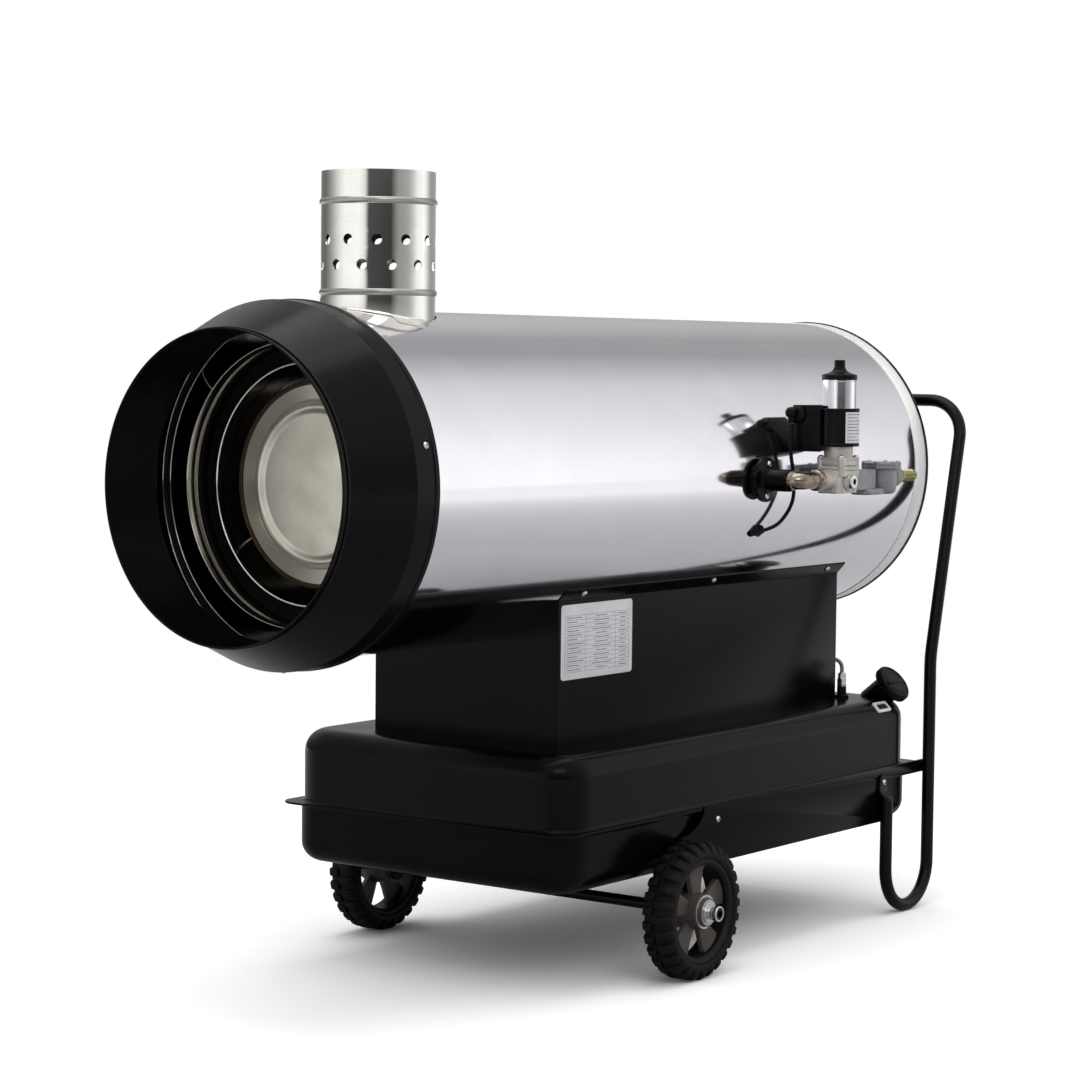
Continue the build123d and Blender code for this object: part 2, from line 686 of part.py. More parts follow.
# Fan motor with its shaft, bolted to the centre plate of the guard
with BuildPart() as fan_motor:
    motor_end = GUARD_OFFSET - GUARD_WIRE - GUARD_PLATE
    ring(across(MOTOR_START), MOTOR_RADIUS, 0, motor_end - MOTOR_START)
    chamfer(fan_motor.faces().sort_by(Axis.X)[0].edges(), 8)
    ring(across(FAN_OFFSET - 6), SHAFT_RADIUS, 0, MOTOR_START - FAN_OFFSET + 10)
    with BuildSketch(across(MOTOR_START + 30)):
        with PolarLocations(MOTOR_RADIUS, 16):
            Rectangle(8, 3)
    extrude(amount=motor_end - MOTOR_START - 50)
save(fan_motor, "fan_motor")

# Axial fan: hub and pitched blades
with BuildPart() as fan:
    ring(across(FAN_OFFSET), FAN_HUB_RADIUS, 0, FAN_DEPTH)
    blade_span = FAN_RADIUS - FAN_HUB_RADIUS + 6
    for blade in range(FAN_BLADES):
        turn = 360 / FAN_BLADES * blade
        root = radial(FAN_OFFSET + FAN_DEPTH / 2, turn, FAN_HUB_RADIUS - 6)
        with BuildSketch(root):
            Rectangle(FAN_DEPTH / cos(radians(BLADE_ANGLE)) * 0.9, BLADE_SHEET, rotation=BLADE_ANGLE)
        with BuildSketch(root.offset(blade_span)):
            Rectangle(FAN_DEPTH * 1.25, BLADE_SHEET, rotation=BLADE_ANGLE + 22)
        loft()
    bore(across(FAN_OFFSET), SHAFT_RADIUS + RUNNING_GAP, 2 * FAN_DEPTH)
    with BuildSketch(across(FAN_OFFSET)):
        Circle(FAN_HUB_RADIUS - 6)
        Circle(16, mode=Mode.SUBTRACT)
    extrude(amount=FAN_DEPTH - 12, mode=Mode.SUBTRACT)
save(fan, "fan")

# Rear guard: wire rings and spokes round a centre plate, with a rim that caps the rear edge
with BuildPart() as fan_guard:
    ring(across(BAND_END), GUARD_RIM_RADIUS, GUARD_RIM_INNER, GUARD_RIM)
    guard_step = (GUARD_RIM_INNER - GUARD_PLATE_RADIUS) / (GUARD_RINGS + 1)
    for index in range(1, GUARD_RINGS + 1):
        with BuildSketch(BODY_PLANE):
            with Locations((along(GUARD_OFFSET), GUARD_PLATE_RADIUS + guard_step * index)):
                Circle(GUARD_WIRE)
        revolve(axis=BODY_AXIS)
    for spoke in range(GUARD_SPOKES):
        root = radial(GUARD_OFFSET, 360 / GUARD_SPOKES * spoke + 30, GUARD_PLATE_RADIUS - 8)
        ring(root, GUARD_WIRE * 1.2, 0, BODY_RADIUS - GUARD_PLATE_RADIUS)
        lug = radial(GUARD_OFFSET, 360 / GUARD_SPOKES * spoke + 30, BODY_RADIUS - 10)
        with BuildSketch(lug):
            with Locations(((BAND_END - GUARD_OFFSET) / 2, 0)):
                Rectangle(BAND_END - GUARD_OFFSET + 3, 10)
        extrude(amount=6)
    ring(across(GUARD_OFFSET - GUARD_WIRE - GUARD_PLATE), GUARD_PLATE_RADIUS, 0, GUARD_PLATE + GUARD_WIRE)
save(fan_guard, "fan_guard")


def box_side(side):
    """Side sheet of the burner box; its top lip lies along the body."""
    outer = side * BOX_HALF
    inner = side * (BOX_HALF - BOX_SHEET)
    with BuildPart() as sheet:
        with BuildSketch(across(BOX_START)):
            Circle(LIP_RADIUS)
            Circle(BODY_RADIUS + SEAT_GAP, mode=Mode.SUBTRACT)
            with Locations((side * (LIP_REACH + BOX_HALF - BOX_SHEET) / 2, -BODY_RADIUS / 2)):
                Rectangle(LIP_REACH - BOX_HALF + BOX_SHEET, BODY_RADIUS, mode=Mode.INTERSECT)
        extrude(amount=BOX_END - BOX_START)
        with BuildSketch(across(BOX_START)):
            with Locations(((inner + outer) / 2, (BOX_BASE + BEND_Z) / 2 - AXIS_Z)):
                Rectangle(BOX_SHEET, BEND_Z - BOX_BASE)
        extrude(amount=BOX_END - BOX_START)
        for screw_x in LIP_SCREW_OFFSETS:
            angle = lip_angle(LIP_SCREW_Y) if side > 0 else 180 - lip_angle(LIP_SCREW_Y)
            bore(radial(screw_x, angle, LIP_RADIUS), SCREW_RADIUS + HOLE_GAP, 4)
        if side > 0:
            for plane, radius in CONTROL_HOLES:
                bore(plane, radius, 2 * BOX_SHEET)
            with BuildSketch(sideways(CONTROL_OFFSET - SWITCH_SPACING, BOX_HALF, CONTROL_Z, 1)):
                Rectangle(SWITCH_WIDTH + 4 * HOLE_GAP, SWITCH_OPENING)
            extrude(amount=2 * BOX_SHEET, both=True, mode=Mode.SUBTRACT)
    return sheet


def box_end(offset):
    """End sheet of the burner box, cut along the top to the round of the body."""
    half = BOX_HALF - BOX_SHEET - SEAT_GAP
    with BuildPart() as sheet:
        with BuildSketch(across(offset)):
            with Locations((0, (BOX_BASE + BEND_Z) / 2 - AXIS_Z)):
                Rectangle(2 * half, BEND_Z - BOX_BASE)
            Circle(BODY_RADIUS + SEAT_GAP, mode=Mode.SUBTRACT)
        extrude(amount=BOX_SHEET)
    return sheet


box_side_left = box_side(1)
save(box_side_left, "box_side_left")

box_side_right = box_side(-1)
save(box_side_right, "box_side_right")

box_front = box_end(BOX_START)
save(box_front, "box_front")

box_rear = box_end(BOX_END - BOX_SHEET)
with box_rear:
    bore(forward(BOX_END, GLAND_Y, GLAND_Z), MAINS_GLAND_RADIUS + HOLE_GAP, 4)
    bore(FUEL_LINE_PLANE, FUEL_LINE_RADIUS + HOLE_GAP, 8)
save(box_rear, "box_rear")

# Floor of the burner box, which carries the pump, transformer and control unit
with BuildPart() as box_floor:
    floor_length = BOX_END - BOX_START - 2 * BOX_SHEET - 2 * SEAT_GAP
    with BuildSketch(Plane(origin=(along((BOX_START + BOX_END) / 2), 0, BOX_BASE))):
        Rectangle(floor_length, 2 * (BOX_HALF - BOX_SHEET - SEAT_GAP))
    extrude(amount=BOX_SHEET)
save(box_floor, "box_floor")

# Bare data plate on the near side of the box
with BuildPart() as rating_plate:
    plate_mid = PLATE_START + PLATE_LENGTH / 2
    with BuildSketch(sideways(plate_mid, -BOX_HALF, PLATE_TOP - PLATE_HEIGHT / 2)):
        RectangleRounded(PLATE_LENGTH, PLATE_HEIGHT, 5)
    extrude(amount=PLATE_SHEET)
save(rating_plate, "rating_plate")

# Fuel pump with its motor, on the box floor
with BuildPart() as fuel_pump:
    with BuildSketch(Plane(origin=(along(PUMP_OFFSET), PUMP_Y, FLOOR_TOP))):
        Rectangle(PUMP_LENGTH, PUMP_WIDTH)
    extrude(amount=PUMP_HEIGHT)
    fillet(fuel_pump.edges().filter_by(Axis.Z), 6)
    pump_front = forward(PUMP_OFFSET - PUMP_LENGTH / 2, PUMP_Y, FLOOR_TOP + PUMP_HEIGHT * 0.58, -1)
    ring(pump_front, PUMP_MOTOR_RADIUS, 0, PUMP_MOTOR_LENGTH)
save(fuel_pump, "fuel_pump")

# Ignition transformer with two terminals, on the box floor
with BuildPart() as ignition_transformer:
    transformer_foot = Plane(origin=(along(TRANSFORMER_OFFSET), TRANSFORMER_Y, FLOOR_TOP))
    with BuildSketch(transformer_foot):
        Rectangle(TRANSFORMER_LENGTH, TRANSFORMER_WIDTH)
    extrude(amount=TRANSFORMER_HEIGHT)
    fillet(ignition_transformer.edges().filter_by(Axis.Z), 5)
    with BuildSketch(transformer_foot.offset(TRANSFORMER_HEIGHT)):
        with GridLocations(TRANSFORMER_LENGTH / 2, 1, 2, 1):
            Circle(TERMINAL_RADIUS)
    extrude(amount=2 * TERMINAL_RADIUS)
save(ignition_transformer, "ignition_transformer")

# Control unit behind the far side sheet, with seats for rocker, selector and button
with BuildPart() as control_unit:
    unit_height = CONTROL_Z + UNIT_MARGIN - FLOOR_TOP
    with BuildSketch(sideways(CONTROL_OFFSET, CONTROL_FACE, FLOOR_TOP + unit_height / 2)):
        Rectangle(2 * (SWITCH_SPACING + UNIT_MARGIN), unit_height)
    extrude(amount=UNIT_DEPTH)
    bore(sideways(CONTROL_OFFSET, CONTROL_FACE, CONTROL_Z), KNOB_SHAFT + RUNNING_GAP, KNOB_SHAFT_LENGTH)
    bore(
        sideways(CONTROL_OFFSET + SWITCH_SPACING, CONTROL_FACE, CONTROL_Z),
        BUTTON_RADIUS + HOLE_GAP,
        BUTTON_SEAT + BUTTON_TRAVEL,
    )
    pocket = Plane(
        origin=(along(CONTROL_OFFSET - SWITCH_SPACING), SWITCH_PIVOT_Y, CONTROL_Z), z_dir=(1, 0, 0)
    )
    bore(pocket, SWITCH_RADIUS + HOLE_GAP, SWITCH_WIDTH / 2 + HOLE_GAP)
save(control_unit, "control_unit")

# Mains rocker: a drum segment whose face is cut to a shallow V
with BuildPart() as mains_switch:
    with BuildSketch(pocket):
        Circle(SWITCH_RADIUS)
    extrude(amount=SWITCH_WIDTH / 2, both=True)
    for lean in (-1, 1):
        flat = Plane(
            origin=(pocket.origin.X, SWITCH_PIVOT_Y + SWITCH_RADIUS - 4, CONTROL_Z),
            x_dir=(1, 0, 0),
            z_dir=(0, cos(radians(12)), lean * sin(radians(12))),
        )
        with BuildSketch(flat):
            with Locations((0, -lean * 20 * (1 if flat.y_dir.Z > 0 else -1))):
                Rectangle(2 * SWITCH_WIDTH, 40)
        extrude(amount=20, mode=Mode.SUBTRACT)
save(mains_switch, "mains_switch")

# Fuel selector knob with its pointer and shaft
with BuildPart() as fuel_selector:
    knob_plane = sideways(CONTROL_OFFSET, BOX_HALF + 2 * HOLE_GAP, CONTROL_Z, 1)
    ring(knob_plane, KNOB_RADIUS, 0, KNOB_HEIGHT * 0.55)
    with BuildSketch(knob_plane):
        Rectangle(KNOB_RADIUS * 0.45, KNOB_RADIUS * 1.9)
        Circle(KNOB_RADIUS - 0.6, mode=Mode.INTERSECT)
    extrude(amount=KNOB_HEIGHT)
    with BuildSketch(knob_plane):
        Circle(KNOB_SHAFT)
    extrude(amount=-KNOB_SHAFT_LENGTH)
save(fuel_selector, "fuel_selector")

# Reset button: runs in its seat and springs back
with BuildPart() as reset_button:
    button_plane = sideways(CONTROL_OFFSET + SWITCH_SPACING, BOX_HALF + 2 * BUTTON_TRAVEL, CONTROL_Z, 1)
    with BuildSketch(button_plane):
        Circle(BUTTON_RADIUS)
    extrude(amount=-BUTTON_SEAT - 2 * BUTTON_TRAVEL)
    fillet(reset_button.faces().sort_by(Axis.Y)[-1].edges(), 1.5)
save(reset_button, "reset_button")

# Mains inlet gland in the rear sheet of the box
with BuildPart() as mains_gland:
    gland_face = forward(BOX_END, GLAND_Y, GLAND_Z)
    with BuildSketch(gland_face):
        RegularPolygon(MAINS_GLAND_RADIUS + 5, 6)
    extrude(amount=7)
    ring(gland_face, MAINS_GLAND_RADIUS + 1, 0, 20)
    ring(gland_face, MAINS_GLAND_RADIUS, 0, -10)
    bore(gland_face, MAINS_GLAND_RADIUS - 3, 30)
save(mains_gland, "mains_gland")


# Fuel tank: two pressed shells that meet at a seam flange
TANK_MID = along((TANK_START + TANK_END) / 2)
TANK_LENGTH = TANK_END - TANK_START


def tank_shell(end_z, corner, edge_fillet, sheet_z):
    """One pan of the tank with its seam flange, open towards the seam."""
    height = abs(end_z - TANK_SEAM)
    up = 1 if end_z > TANK_SEAM else -1
    with BuildPart() as shell:
        with BuildSketch(Plane(origin=(TANK_MID, 0, TANK_SEAM))):
            RectangleRounded(TANK_LENGTH, 2 * TANK_HALF, corner)
        extrude(amount=up * height)
        end_face = shell.faces().sort_by(Axis.Z)[-1 if up > 0 else 0]
        fillet(end_face.edges(), edge_fillet)
        pan_edge = TANK_LENGTH + 2 * FLANGE_WIDTH
        with BuildSketch(Plane(origin=(TANK_MID, 0, sheet_z))):
            RectangleRounded(pan_edge, 2 * (TANK_HALF + FLANGE_WIDTH), FLANGE_CORNER)
        extrude(amount=TANK_SHEET)
        flare_z = TANK_SEAM + up * TANK_SHEET
        flange_faces = shell.faces().filter_by_position(Axis.Z, flare_z - 0.01, flare_z + 0.01)
        flange_face = flange_faces.sort_by(SortBy.AREA)[-1]
        fillet(flange_face.inner_wires()[0].edges(), FLANGE_FLARE)
        add(tank_hollow(up * (height - TANK_SHEET), corner, edge_fillet), mode=Mode.SUBTRACT)
    return shell


def tank_hollow(depth, corner, edge_fillet):
    """The space inside one pan of the tank, from the seam."""
    with BuildPart() as hollow:
        with BuildSketch(Plane(origin=(TANK_MID, 0, TANK_SEAM))):
            RectangleRounded(
                TANK_LENGTH - 2 * TANK_SHEET, 2 * (TANK_HALF - TANK_SHEET), corner - TANK_SHEET
            )
        extrude(amount=depth)
        end_face = hollow.faces().sort_by(Axis.Z)[-1 if depth > 0 else 0]
        fillet(end_face.edges(), edge_fillet - TANK_SHEET)
    return hollow.part


# Filler neck frame: it leans towards the near side from the tank's rear corner
NECK_PLANE = Plane(
    origin=(along(NECK_OFFSET), NECK_Y, NECK_Z),
    x_dir=(1, 0, 0),
    z_dir=(0, -sin(radians(NECK_TILT)), cos(radians(NECK_TILT))),
)

# Level window frame: on the near top edge of the tank
WINDOW_PLANE = Plane(
    origin=(
        along(WINDOW_OFFSET),
        -(TANK_HALF - TANK_TOP_FILLET + TANK_TOP_FILLET * sin(radians(WINDOW_SLOPE))),
        TANK_TOP - TANK_TOP_FILLET + TANK_TOP_FILLET * cos(radians(WINDOW_SLOPE)),
    ),
    x_dir=(1, 0, 0),
    z_dir=(0, -sin(radians(WINDOW_SLOPE)), cos(radians(WINDOW_SLOPE))),
)

tank_upper_shell = tank_shell(TANK_TOP, TANK_UPPER_CORNER, TANK_TOP_FILLET, TANK_SEAM)
with tank_upper_shell:
    bore(NECK_PLANE, NECK_RADIUS + SEAT_GAP, NECK_DEPTH)
    bore(Plane(origin=(along(PICKUP_OFFSET), PICKUP_Y, TANK_TOP)), PICKUP_RADIUS - 2 + SEAT_GAP, 8)
    with BuildSketch(WINDOW_PLANE) as window_hole:
        RectangleRounded(WINDOW_LENGTH - 10, WINDOW_WIDTH - 8, 3)
    extrude(window_hole.sketch, amount=12, both=True, mode=Mode.SUBTRACT)
save(tank_upper_shell, "tank_upper_shell")

tank_lower_shell = tank_shell(TANK_BOTTOM, TANK_LOWER_CORNER, TANK_BOTTOM_FILLET, TANK_SEAM - TANK_SHEET)
with tank_lower_shell:
    bore(Plane(origin=(along(DRAIN_OFFSET), 0, TANK_BOTTOM)), 9 + SEAT_GAP, 6)
save(tank_lower_shell, "tank_lower_shell")

# Filler neck: a tube through the corner of the tank
with BuildPart() as filler_neck:
    neck_foot = NECK_PLANE.offset(-NECK_DEPTH / 2)
    ring(neck_foot, NECK_RADIUS, NECK_RADIUS - NECK_WALL, NECK_LENGTH + NECK_DEPTH / 2)
save(filler_neck, "filler_neck")

# Gasket inside the filler cap, on the end of the neck
with BuildPart() as cap_gasket:
    ring(NECK_PLANE.offset(NECK_LENGTH + SEAT_GAP), NECK_RADIUS, NECK_RADIUS - 5, GASKET_HEIGHT)
save(cap_gasket, "cap_gasket")

# Filler cap: a ribbed disc with a skirt that turns round the neck
with BuildPart() as filler_cap:
    cap_plane = NECK_PLANE.offset(NECK_LENGTH - CAP_SKIRT)
    ring(cap_plane, CAP_RADIUS, 0, CAP_HEIGHT)
    ring(cap_plane.offset(CAP_HEIGHT), CAP_RADIUS, CAP_RADIUS - 3, 1)
    with BuildSketch(cap_plane):
        with PolarLocations(CAP_RADIUS, CAP_RIBS):
            Circle(1.6, mode=Mode.ADD)
        Circle(CAP_RADIUS - 1, mode=Mode.ADD)
    extrude(amount=CAP_HEIGHT - 2)
    with BuildSketch(cap_plane):
        Circle(NECK_RADIUS + HOLE_GAP)
    extrude(amount=CAP_SKIRT + GASKET_HEIGHT + 2 * SEAT_GAP, mode=Mode.SUBTRACT)
save(filler_cap, "filler_cap")

# Level window: a framed gauge glass bent round the top edge of the tank
with BuildPart() as level_window:
    edge_axis = Plane(
        origin=(
            along(WINDOW_OFFSET - WINDOW_LENGTH / 2),
            TANK_TOP_FILLET - TANK_HALF,
            TANK_TOP - TANK_TOP_FILLET,
        ),
        x_dir=(0, 1, 0),
        z_dir=(1, 0, 0),
    )
    slope = radians(WINDOW_SLOPE)
    with BuildSketch(edge_axis):
        with Locations((-TANK_TOP_FILLET * sin(slope), TANK_TOP_FILLET * cos(slope))):
            Rectangle(TANK_TOP_FILLET, WINDOW_WIDTH, rotation=90 + WINDOW_SLOPE)
        Circle(TANK_TOP_FILLET + SEAT_GAP / 2 + WINDOW_DEPTH, mode=Mode.INTERSECT)
        Circle(TANK_TOP_FILLET + SEAT_GAP / 2, mode=Mode.SUBTRACT)
    extrude(amount=WINDOW_LENGTH)
    with BuildSketch(WINDOW_PLANE.offset(WINDOW_DEPTH + 1)):
        RectangleRounded(WINDOW_LENGTH - 12, WINDOW_WIDTH - 9, 2)
    extrude(amount=-2, mode=Mode.SUBTRACT)
save(level_window, "level_window")

# Fuel pickup: a threaded fitting with its union nut on the tank top
with BuildPart() as pickup_fitting:
    pickup_foot = Plane(origin=(along(PICKUP_OFFSET), PICKUP_Y, TANK_TOP))
    ring(pickup_foot, PICKUP_RADIUS + 3, 0, 5)
    ring(pickup_foot, PICKUP_RADIUS - 1, 0, PICKUP_TOP - TANK_TOP)
    with BuildSketch(pickup_foot.offset(18)):
        RegularPolygon(PICKUP_RADIUS, 6)
    extrude(amount=12)
    with BuildSketch(pickup_foot):
        Circle(PICKUP_RADIUS - 2)
    extrude(amount=-10)
save(pickup_fitting, "pickup_fitting")

# Fuel line: from the pickup through the rear sheet of the box to the pump
with BuildPart() as fuel_line:
    with BuildLine() as line_run:
        FilletPolyline(
            (along(PICKUP_OFFSET), PICKUP_Y, PICKUP_TOP + SEAT_GAP),
            (along(PICKUP_OFFSET), PICKUP_Y, FUEL_LINE_Z),
            (along(FUEL_LINE_TURN), PUMP_Y, FUEL_LINE_Z),
            (along(PUMP_OFFSET + PUMP_LENGTH / 2) + SEAT_GAP, PUMP_Y, FUEL_LINE_Z),
            radius=FUEL_LINE_BEND,
        )
    with BuildSketch(Plane(origin=line_run.line @ 0, z_dir=line_run.line % 0)):
        Circle(FUEL_LINE_RADIUS)
    sweep()
save(fuel_line, "fuel_line")

# Drain plug in the floor of the tank
with BuildPart() as drain_plug:
    drain_face = Plane(origin=(along(DRAIN_OFFSET), 0, TANK_BOTTOM), x_dir=(1, 0, 0), z_dir=(0, 0, -1))
    with BuildSketch(drain_face):
        RegularPolygon(12, 6)
    extrude(amount=7)
    with BuildSketch(drain_face):
        Circle(9)
    extrude(amount=-8)
save(drain_plug, "drain_plug")


def wheel_plane(y, side):
    """Plane square to the axle at this Y, facing outwards, local X straight down."""
    return Plane(origin=(AXLE_X, side * y, WHEEL_RADIUS), x_dir=(0, 0, -1), z_dir=(0, side, 0))


def side_plate(side):
    """Chassis plate beside the tank; its front lobe turns in and carries the axle."""
    inner = side * SIDE_INNER
    with BuildPart() as plate:
        with BuildSketch(Plane(origin=(COLLAR_X, inner, 0), x_dir=(1, 0, 0), z_dir=(0, -1, 0))):
            with BuildLine():
                Polyline(
                    (SIDE_FRONT, SIDE_BOTTOM),
                    (SIDE_REAR, SIDE_BOTTOM),
                    (SIDE_REAR, STRIP_BOTTOM),
                    (STRIP_END, STRIP_BOTTOM),
                    (STRIP_END, SIDE_TOP),
                    (SIDE_FRONT, SIDE_TOP),
                    close=True,
                )
            make_face()
        extrude(amount=-side * PLATE_SIDE_SHEET)
        turn = radians(LOBE_TURN)
        lobe_plane = Plane(
            origin=(along(SIDE_FRONT), side * SIDE_OUTER, 0),
            x_dir=(-cos(turn), -side * sin(turn), 0),
            z_dir=(-side * sin(turn), cos(turn), 0),
        )
        reach = (SIDE_FRONT - AXLE_OFFSET) / cos(turn)
        with BuildSketch(lobe_plane):
            with BuildLine():
                lobe_top = Line((0, LOBE_TOP), (0, SIDE_BOTTOM))
                lobe_rear = Line(lobe_top @ 1, (reach - LOBE_END_RADIUS, WHEEL_RADIUS))
                lobe_end = ThreePointArc(
                    lobe_rear @ 1,
                    (reach, WHEEL_RADIUS - LOBE_END_RADIUS),
                    (reach + LOBE_END_RADIUS, WHEEL_RADIUS),
                )
                lobe_front = Line(lobe_end @ 1, LOBE_SHOULDER)
                ThreePointArc(lobe_front @ 1, LOBE_MIDDLE, lobe_top @ 0)
            make_face()
        extrude(amount=-side * PLATE_SIDE_SHEET)
        bore(wheel_plane(SIDE_OUTER, side), AXLE_RADIUS + SEAT_GAP, 8 * PLATE_SIDE_SHEET)
        for screw_offset in (SIDE_SCREW_FRONT, FOOT_FRONT):
            spacer = sideways(screw_offset, inner, SIDE_SCREW_Z, -side)
            ring(spacer, SPACER_RADIUS, 0, SIDE_INNER - TANK_HALF - SEAT_GAP)
            bore(spacer, SCREW_RADIUS + HOLE_GAP, 2 * FLANGE_WIDTH)
    return plate


side_plate_left = side_plate(1)
save(side_plate_left, "side_plate_left")

side_plate_right = side_plate(-1)
save(side_plate_right, "side_plate_right")

# Axle: a tube through both lobes
with BuildPart() as axle:
    ring(wheel_plane(-AXLE_HALF, 1), AXLE_RADIUS, AXLE_BORE, 2 * AXLE_HALF)
save(axle, "axle")


def wheel_rim(side):
    """Moulded rim: hub, wide spokes and the bed of the tyre."""
    outer = TYRE_INNER - SEAT_GAP
    bed_start = WHEEL_CENTRE_Y - RIM_WIDTH / 2
    with BuildPart() as rim:
        ring(wheel_plane(WHEEL_CENTRE_Y - HUB_HALF, side), HUB_RADIUS, 0, 2 * HUB_HALF)
        ring(wheel_plane(bed_start, side), outer, RIM_INNER, RIM_WIDTH)
        for start in (bed_start, bed_start + RIM_WIDTH - RIM_LIP):
            ring(wheel_plane(start, side), outer, RIM_INNER - RIM_LIP, RIM_LIP)
        with BuildSketch(wheel_plane(WHEEL_CENTRE_Y, side)):
            for spoke in range(SPOKES):
                Polygon(
                    (0, -SPOKE_ROOT / 2),
                    (RIM_INNER + 1, -SPOKE_WIDTH / 2),
                    (RIM_INNER + 1, SPOKE_WIDTH / 2),
                    (0, SPOKE_ROOT / 2),
                    align=None,
                    rotation=SPOKE_TURN + 360 / SPOKES * spoke,
                )
        extrude(amount=SPOKE_SHEET)
        bore(wheel_plane(WHEEL_CENTRE_Y, side), BUSH_RADIUS + RUNNING_GAP, 2 * HUB_HALF)
    return rim


def wheel_tyre(side):
    """Solid tyre with two staggered rows of shoulder lugs, one lug at the bottom."""
    half = TYRE_WIDTH / 2
    tread = WHEEL_RADIUS - LUG_HEIGHT
    section = Plane(
        origin=(AXLE_X, side * WHEEL_CENTRE_Y, WHEEL_RADIUS), x_dir=(0, 1, 0), z_dir=(1, 0, 0)
    )
    turning = Axis((AXLE_X, 0, WHEEL_RADIUS), (0, 1, 0))
    with BuildPart() as tyre:
        for row, start in enumerate((half - LUG_INSET - LUG_WIDTH, LUG_INSET - half)):
            with BuildSketch(wheel_plane(WHEEL_CENTRE_Y + start, side)):
                with PolarLocations(tread, LUGS, start_angle=row * 180 / LUGS):
                    Rectangle(4 * LUG_HEIGHT, LUG_LENGTH)
                Circle(WHEEL_RADIUS, mode=Mode.INTERSECT)
            extrude(amount=LUG_WIDTH)
        shoulder = half - 2 * LUG_HEIGHT
        envelope = (
            (-half - LUG_INSET, 0),
            (-half - LUG_INSET, tread - LUG_INSET),
            (-shoulder, WHEEL_RADIUS + LUG_HEIGHT),
            (shoulder, WHEEL_RADIUS + LUG_HEIGHT),
            (half + LUG_INSET, tread - LUG_INSET),
            (half + LUG_INSET, 0),
        )
        turned(envelope, turning, section, Mode.INTERSECT)
        wall = half - TYRE_BULGE
        carcass = (
            (-wall, TYRE_INNER),
            (-half, TYRE_INNER + LUG_HEIGHT),
            (-half, tread - 2 * LUG_HEIGHT),
            (-shoulder, tread),
            (shoulder, tread),
            (half, tread - 2 * LUG_HEIGHT),
            (half, TYRE_INNER + LUG_HEIGHT),
            (wall, TYRE_INNER),
        )
        turned(carcass, turning, section)
    return tyre


wheel_left_rim = wheel_rim(1)
save(wheel_left_rim, "wheel_left_rim")

wheel_left_tyre = wheel_tyre(1)
save(wheel_left_tyre, "wheel_left_tyre")

wheel_right_rim = wheel_rim(-1)
save(wheel_right_rim, "wheel_right_rim")

wheel_right_tyre = wheel_tyre(-1)
save(wheel_right_tyre, "wheel_right_tyre")

# Bushes: one sleeve on the axle inside each hub, a little longer than the hub
with BuildPart() as wheel_bushes:
    for side in (-1, 1):
        start = wheel_plane(WHEEL_CENTRE_Y - HUB_HALF - SEAT_GAP, side)
        ring(start, BUSH_RADIUS, AXLE_RADIUS + SEAT_GAP, 2 * (HUB_HALF + SEAT_GAP))
save(wheel_bushes, "wheel_bushes")

# Washers on both sides of each hub, and the flared sleeve that keeps each wheel on
with BuildPart() as axle_washers:
    washer_bore = AXLE_RADIUS + SEAT_GAP
    hub_end = WHEEL_CENTRE_Y + HUB_HALF + 2 * SEAT_GAP
    sleeve_start = hub_end + WASHER + SEAT_GAP
    for side in (-1, 1):
        hub_start = wheel_plane(WHEEL_CENTRE_Y - HUB_HALF - 2 * SEAT_GAP, side)
        ring(hub_start, WASHER_RADIUS, washer_bore, -WASHER)
        ring(wheel_plane(hub_end, side), WASHER_RADIUS, washer_bore, WASHER)
        ring(wheel_plane(sleeve_start, side), SLEEVE_RADIUS, washer_bore, AXLE_HALF - sleeve_start)
        ring(wheel_plane(AXLE_HALF - SLEEVE_RIM, side), SLEEVE_RADIUS + 1.5, washer_bore, SLEEVE_RIM)
save(axle_washers, "axle_washers")

# Handle frame: one bent tube from the near tab round the handle to the far tab
with BuildPart() as handle_frame:
    tube_centre_z = TUBE_RADIUS
    handle_x = along(FOOT_FRONT + FOOT_SPACING + HANDLE_LEAN)
    half_run = (
        (along(FOOT_FRONT), TUBE_Y, TAB_START),
        (along(FOOT_FRONT), TUBE_Y, tube_centre_z),
        (along(FOOT_FRONT + FOOT_SPACING), TUBE_Y, tube_centre_z),
        (along(FOOT_FRONT + FOOT_SPACING), TUBE_Y, HANDLE_KNEE_Z),
        (handle_x, TUBE_Y, HANDLE_TOP),
    )
    other_run = tuple((x, -y, z) for x, y, z in reversed(half_run))
    half_bends = (FOOT_BEND, FOOT_BEND, KNEE_BEND, HANDLE_BEND)
    with BuildLine() as frame_run:
        FilletPolyline(*half_run, *other_run, radius=half_bends + half_bends[::-1])
    with BuildSketch(Plane(origin=frame_run.line @ 0, z_dir=frame_run.line % 0)):
        Circle(TUBE_RADIUS)
    sweep()
    for side in (-1, 1):
        tab_mid = side * (SIDE_OUTER + SEAT_GAP + TAB_SHEET / 2)
        with BuildSketch(Plane(origin=(along(FOOT_FRONT), side * TUBE_Y, TAB_START))):
            Circle(TUBE_RADIUS)
        with BuildSketch(Plane(origin=(along(FOOT_FRONT), tab_mid, TAB_START + TAB_SHOULDER))):
            Rectangle(2 * TAB_HALF, TAB_SHEET)
        loft()
        tab = sideways(FOOT_FRONT, tab_mid, SIDE_SCREW_Z)
        with BuildSketch(tab):
            Circle(TAB_HALF)
            with Locations((0, (TAB_START + TAB_SHOULDER - SIDE_SCREW_Z) / 2)):
                Rectangle(2 * TAB_HALF, SIDE_SCREW_Z - TAB_START - TAB_SHOULDER)
        extrude(amount=TAB_SHEET / 2, both=True)
        bore(tab, SCREW_RADIUS + HOLE_GAP, TAB_SHEET)
save(handle_frame, "handle_frame")

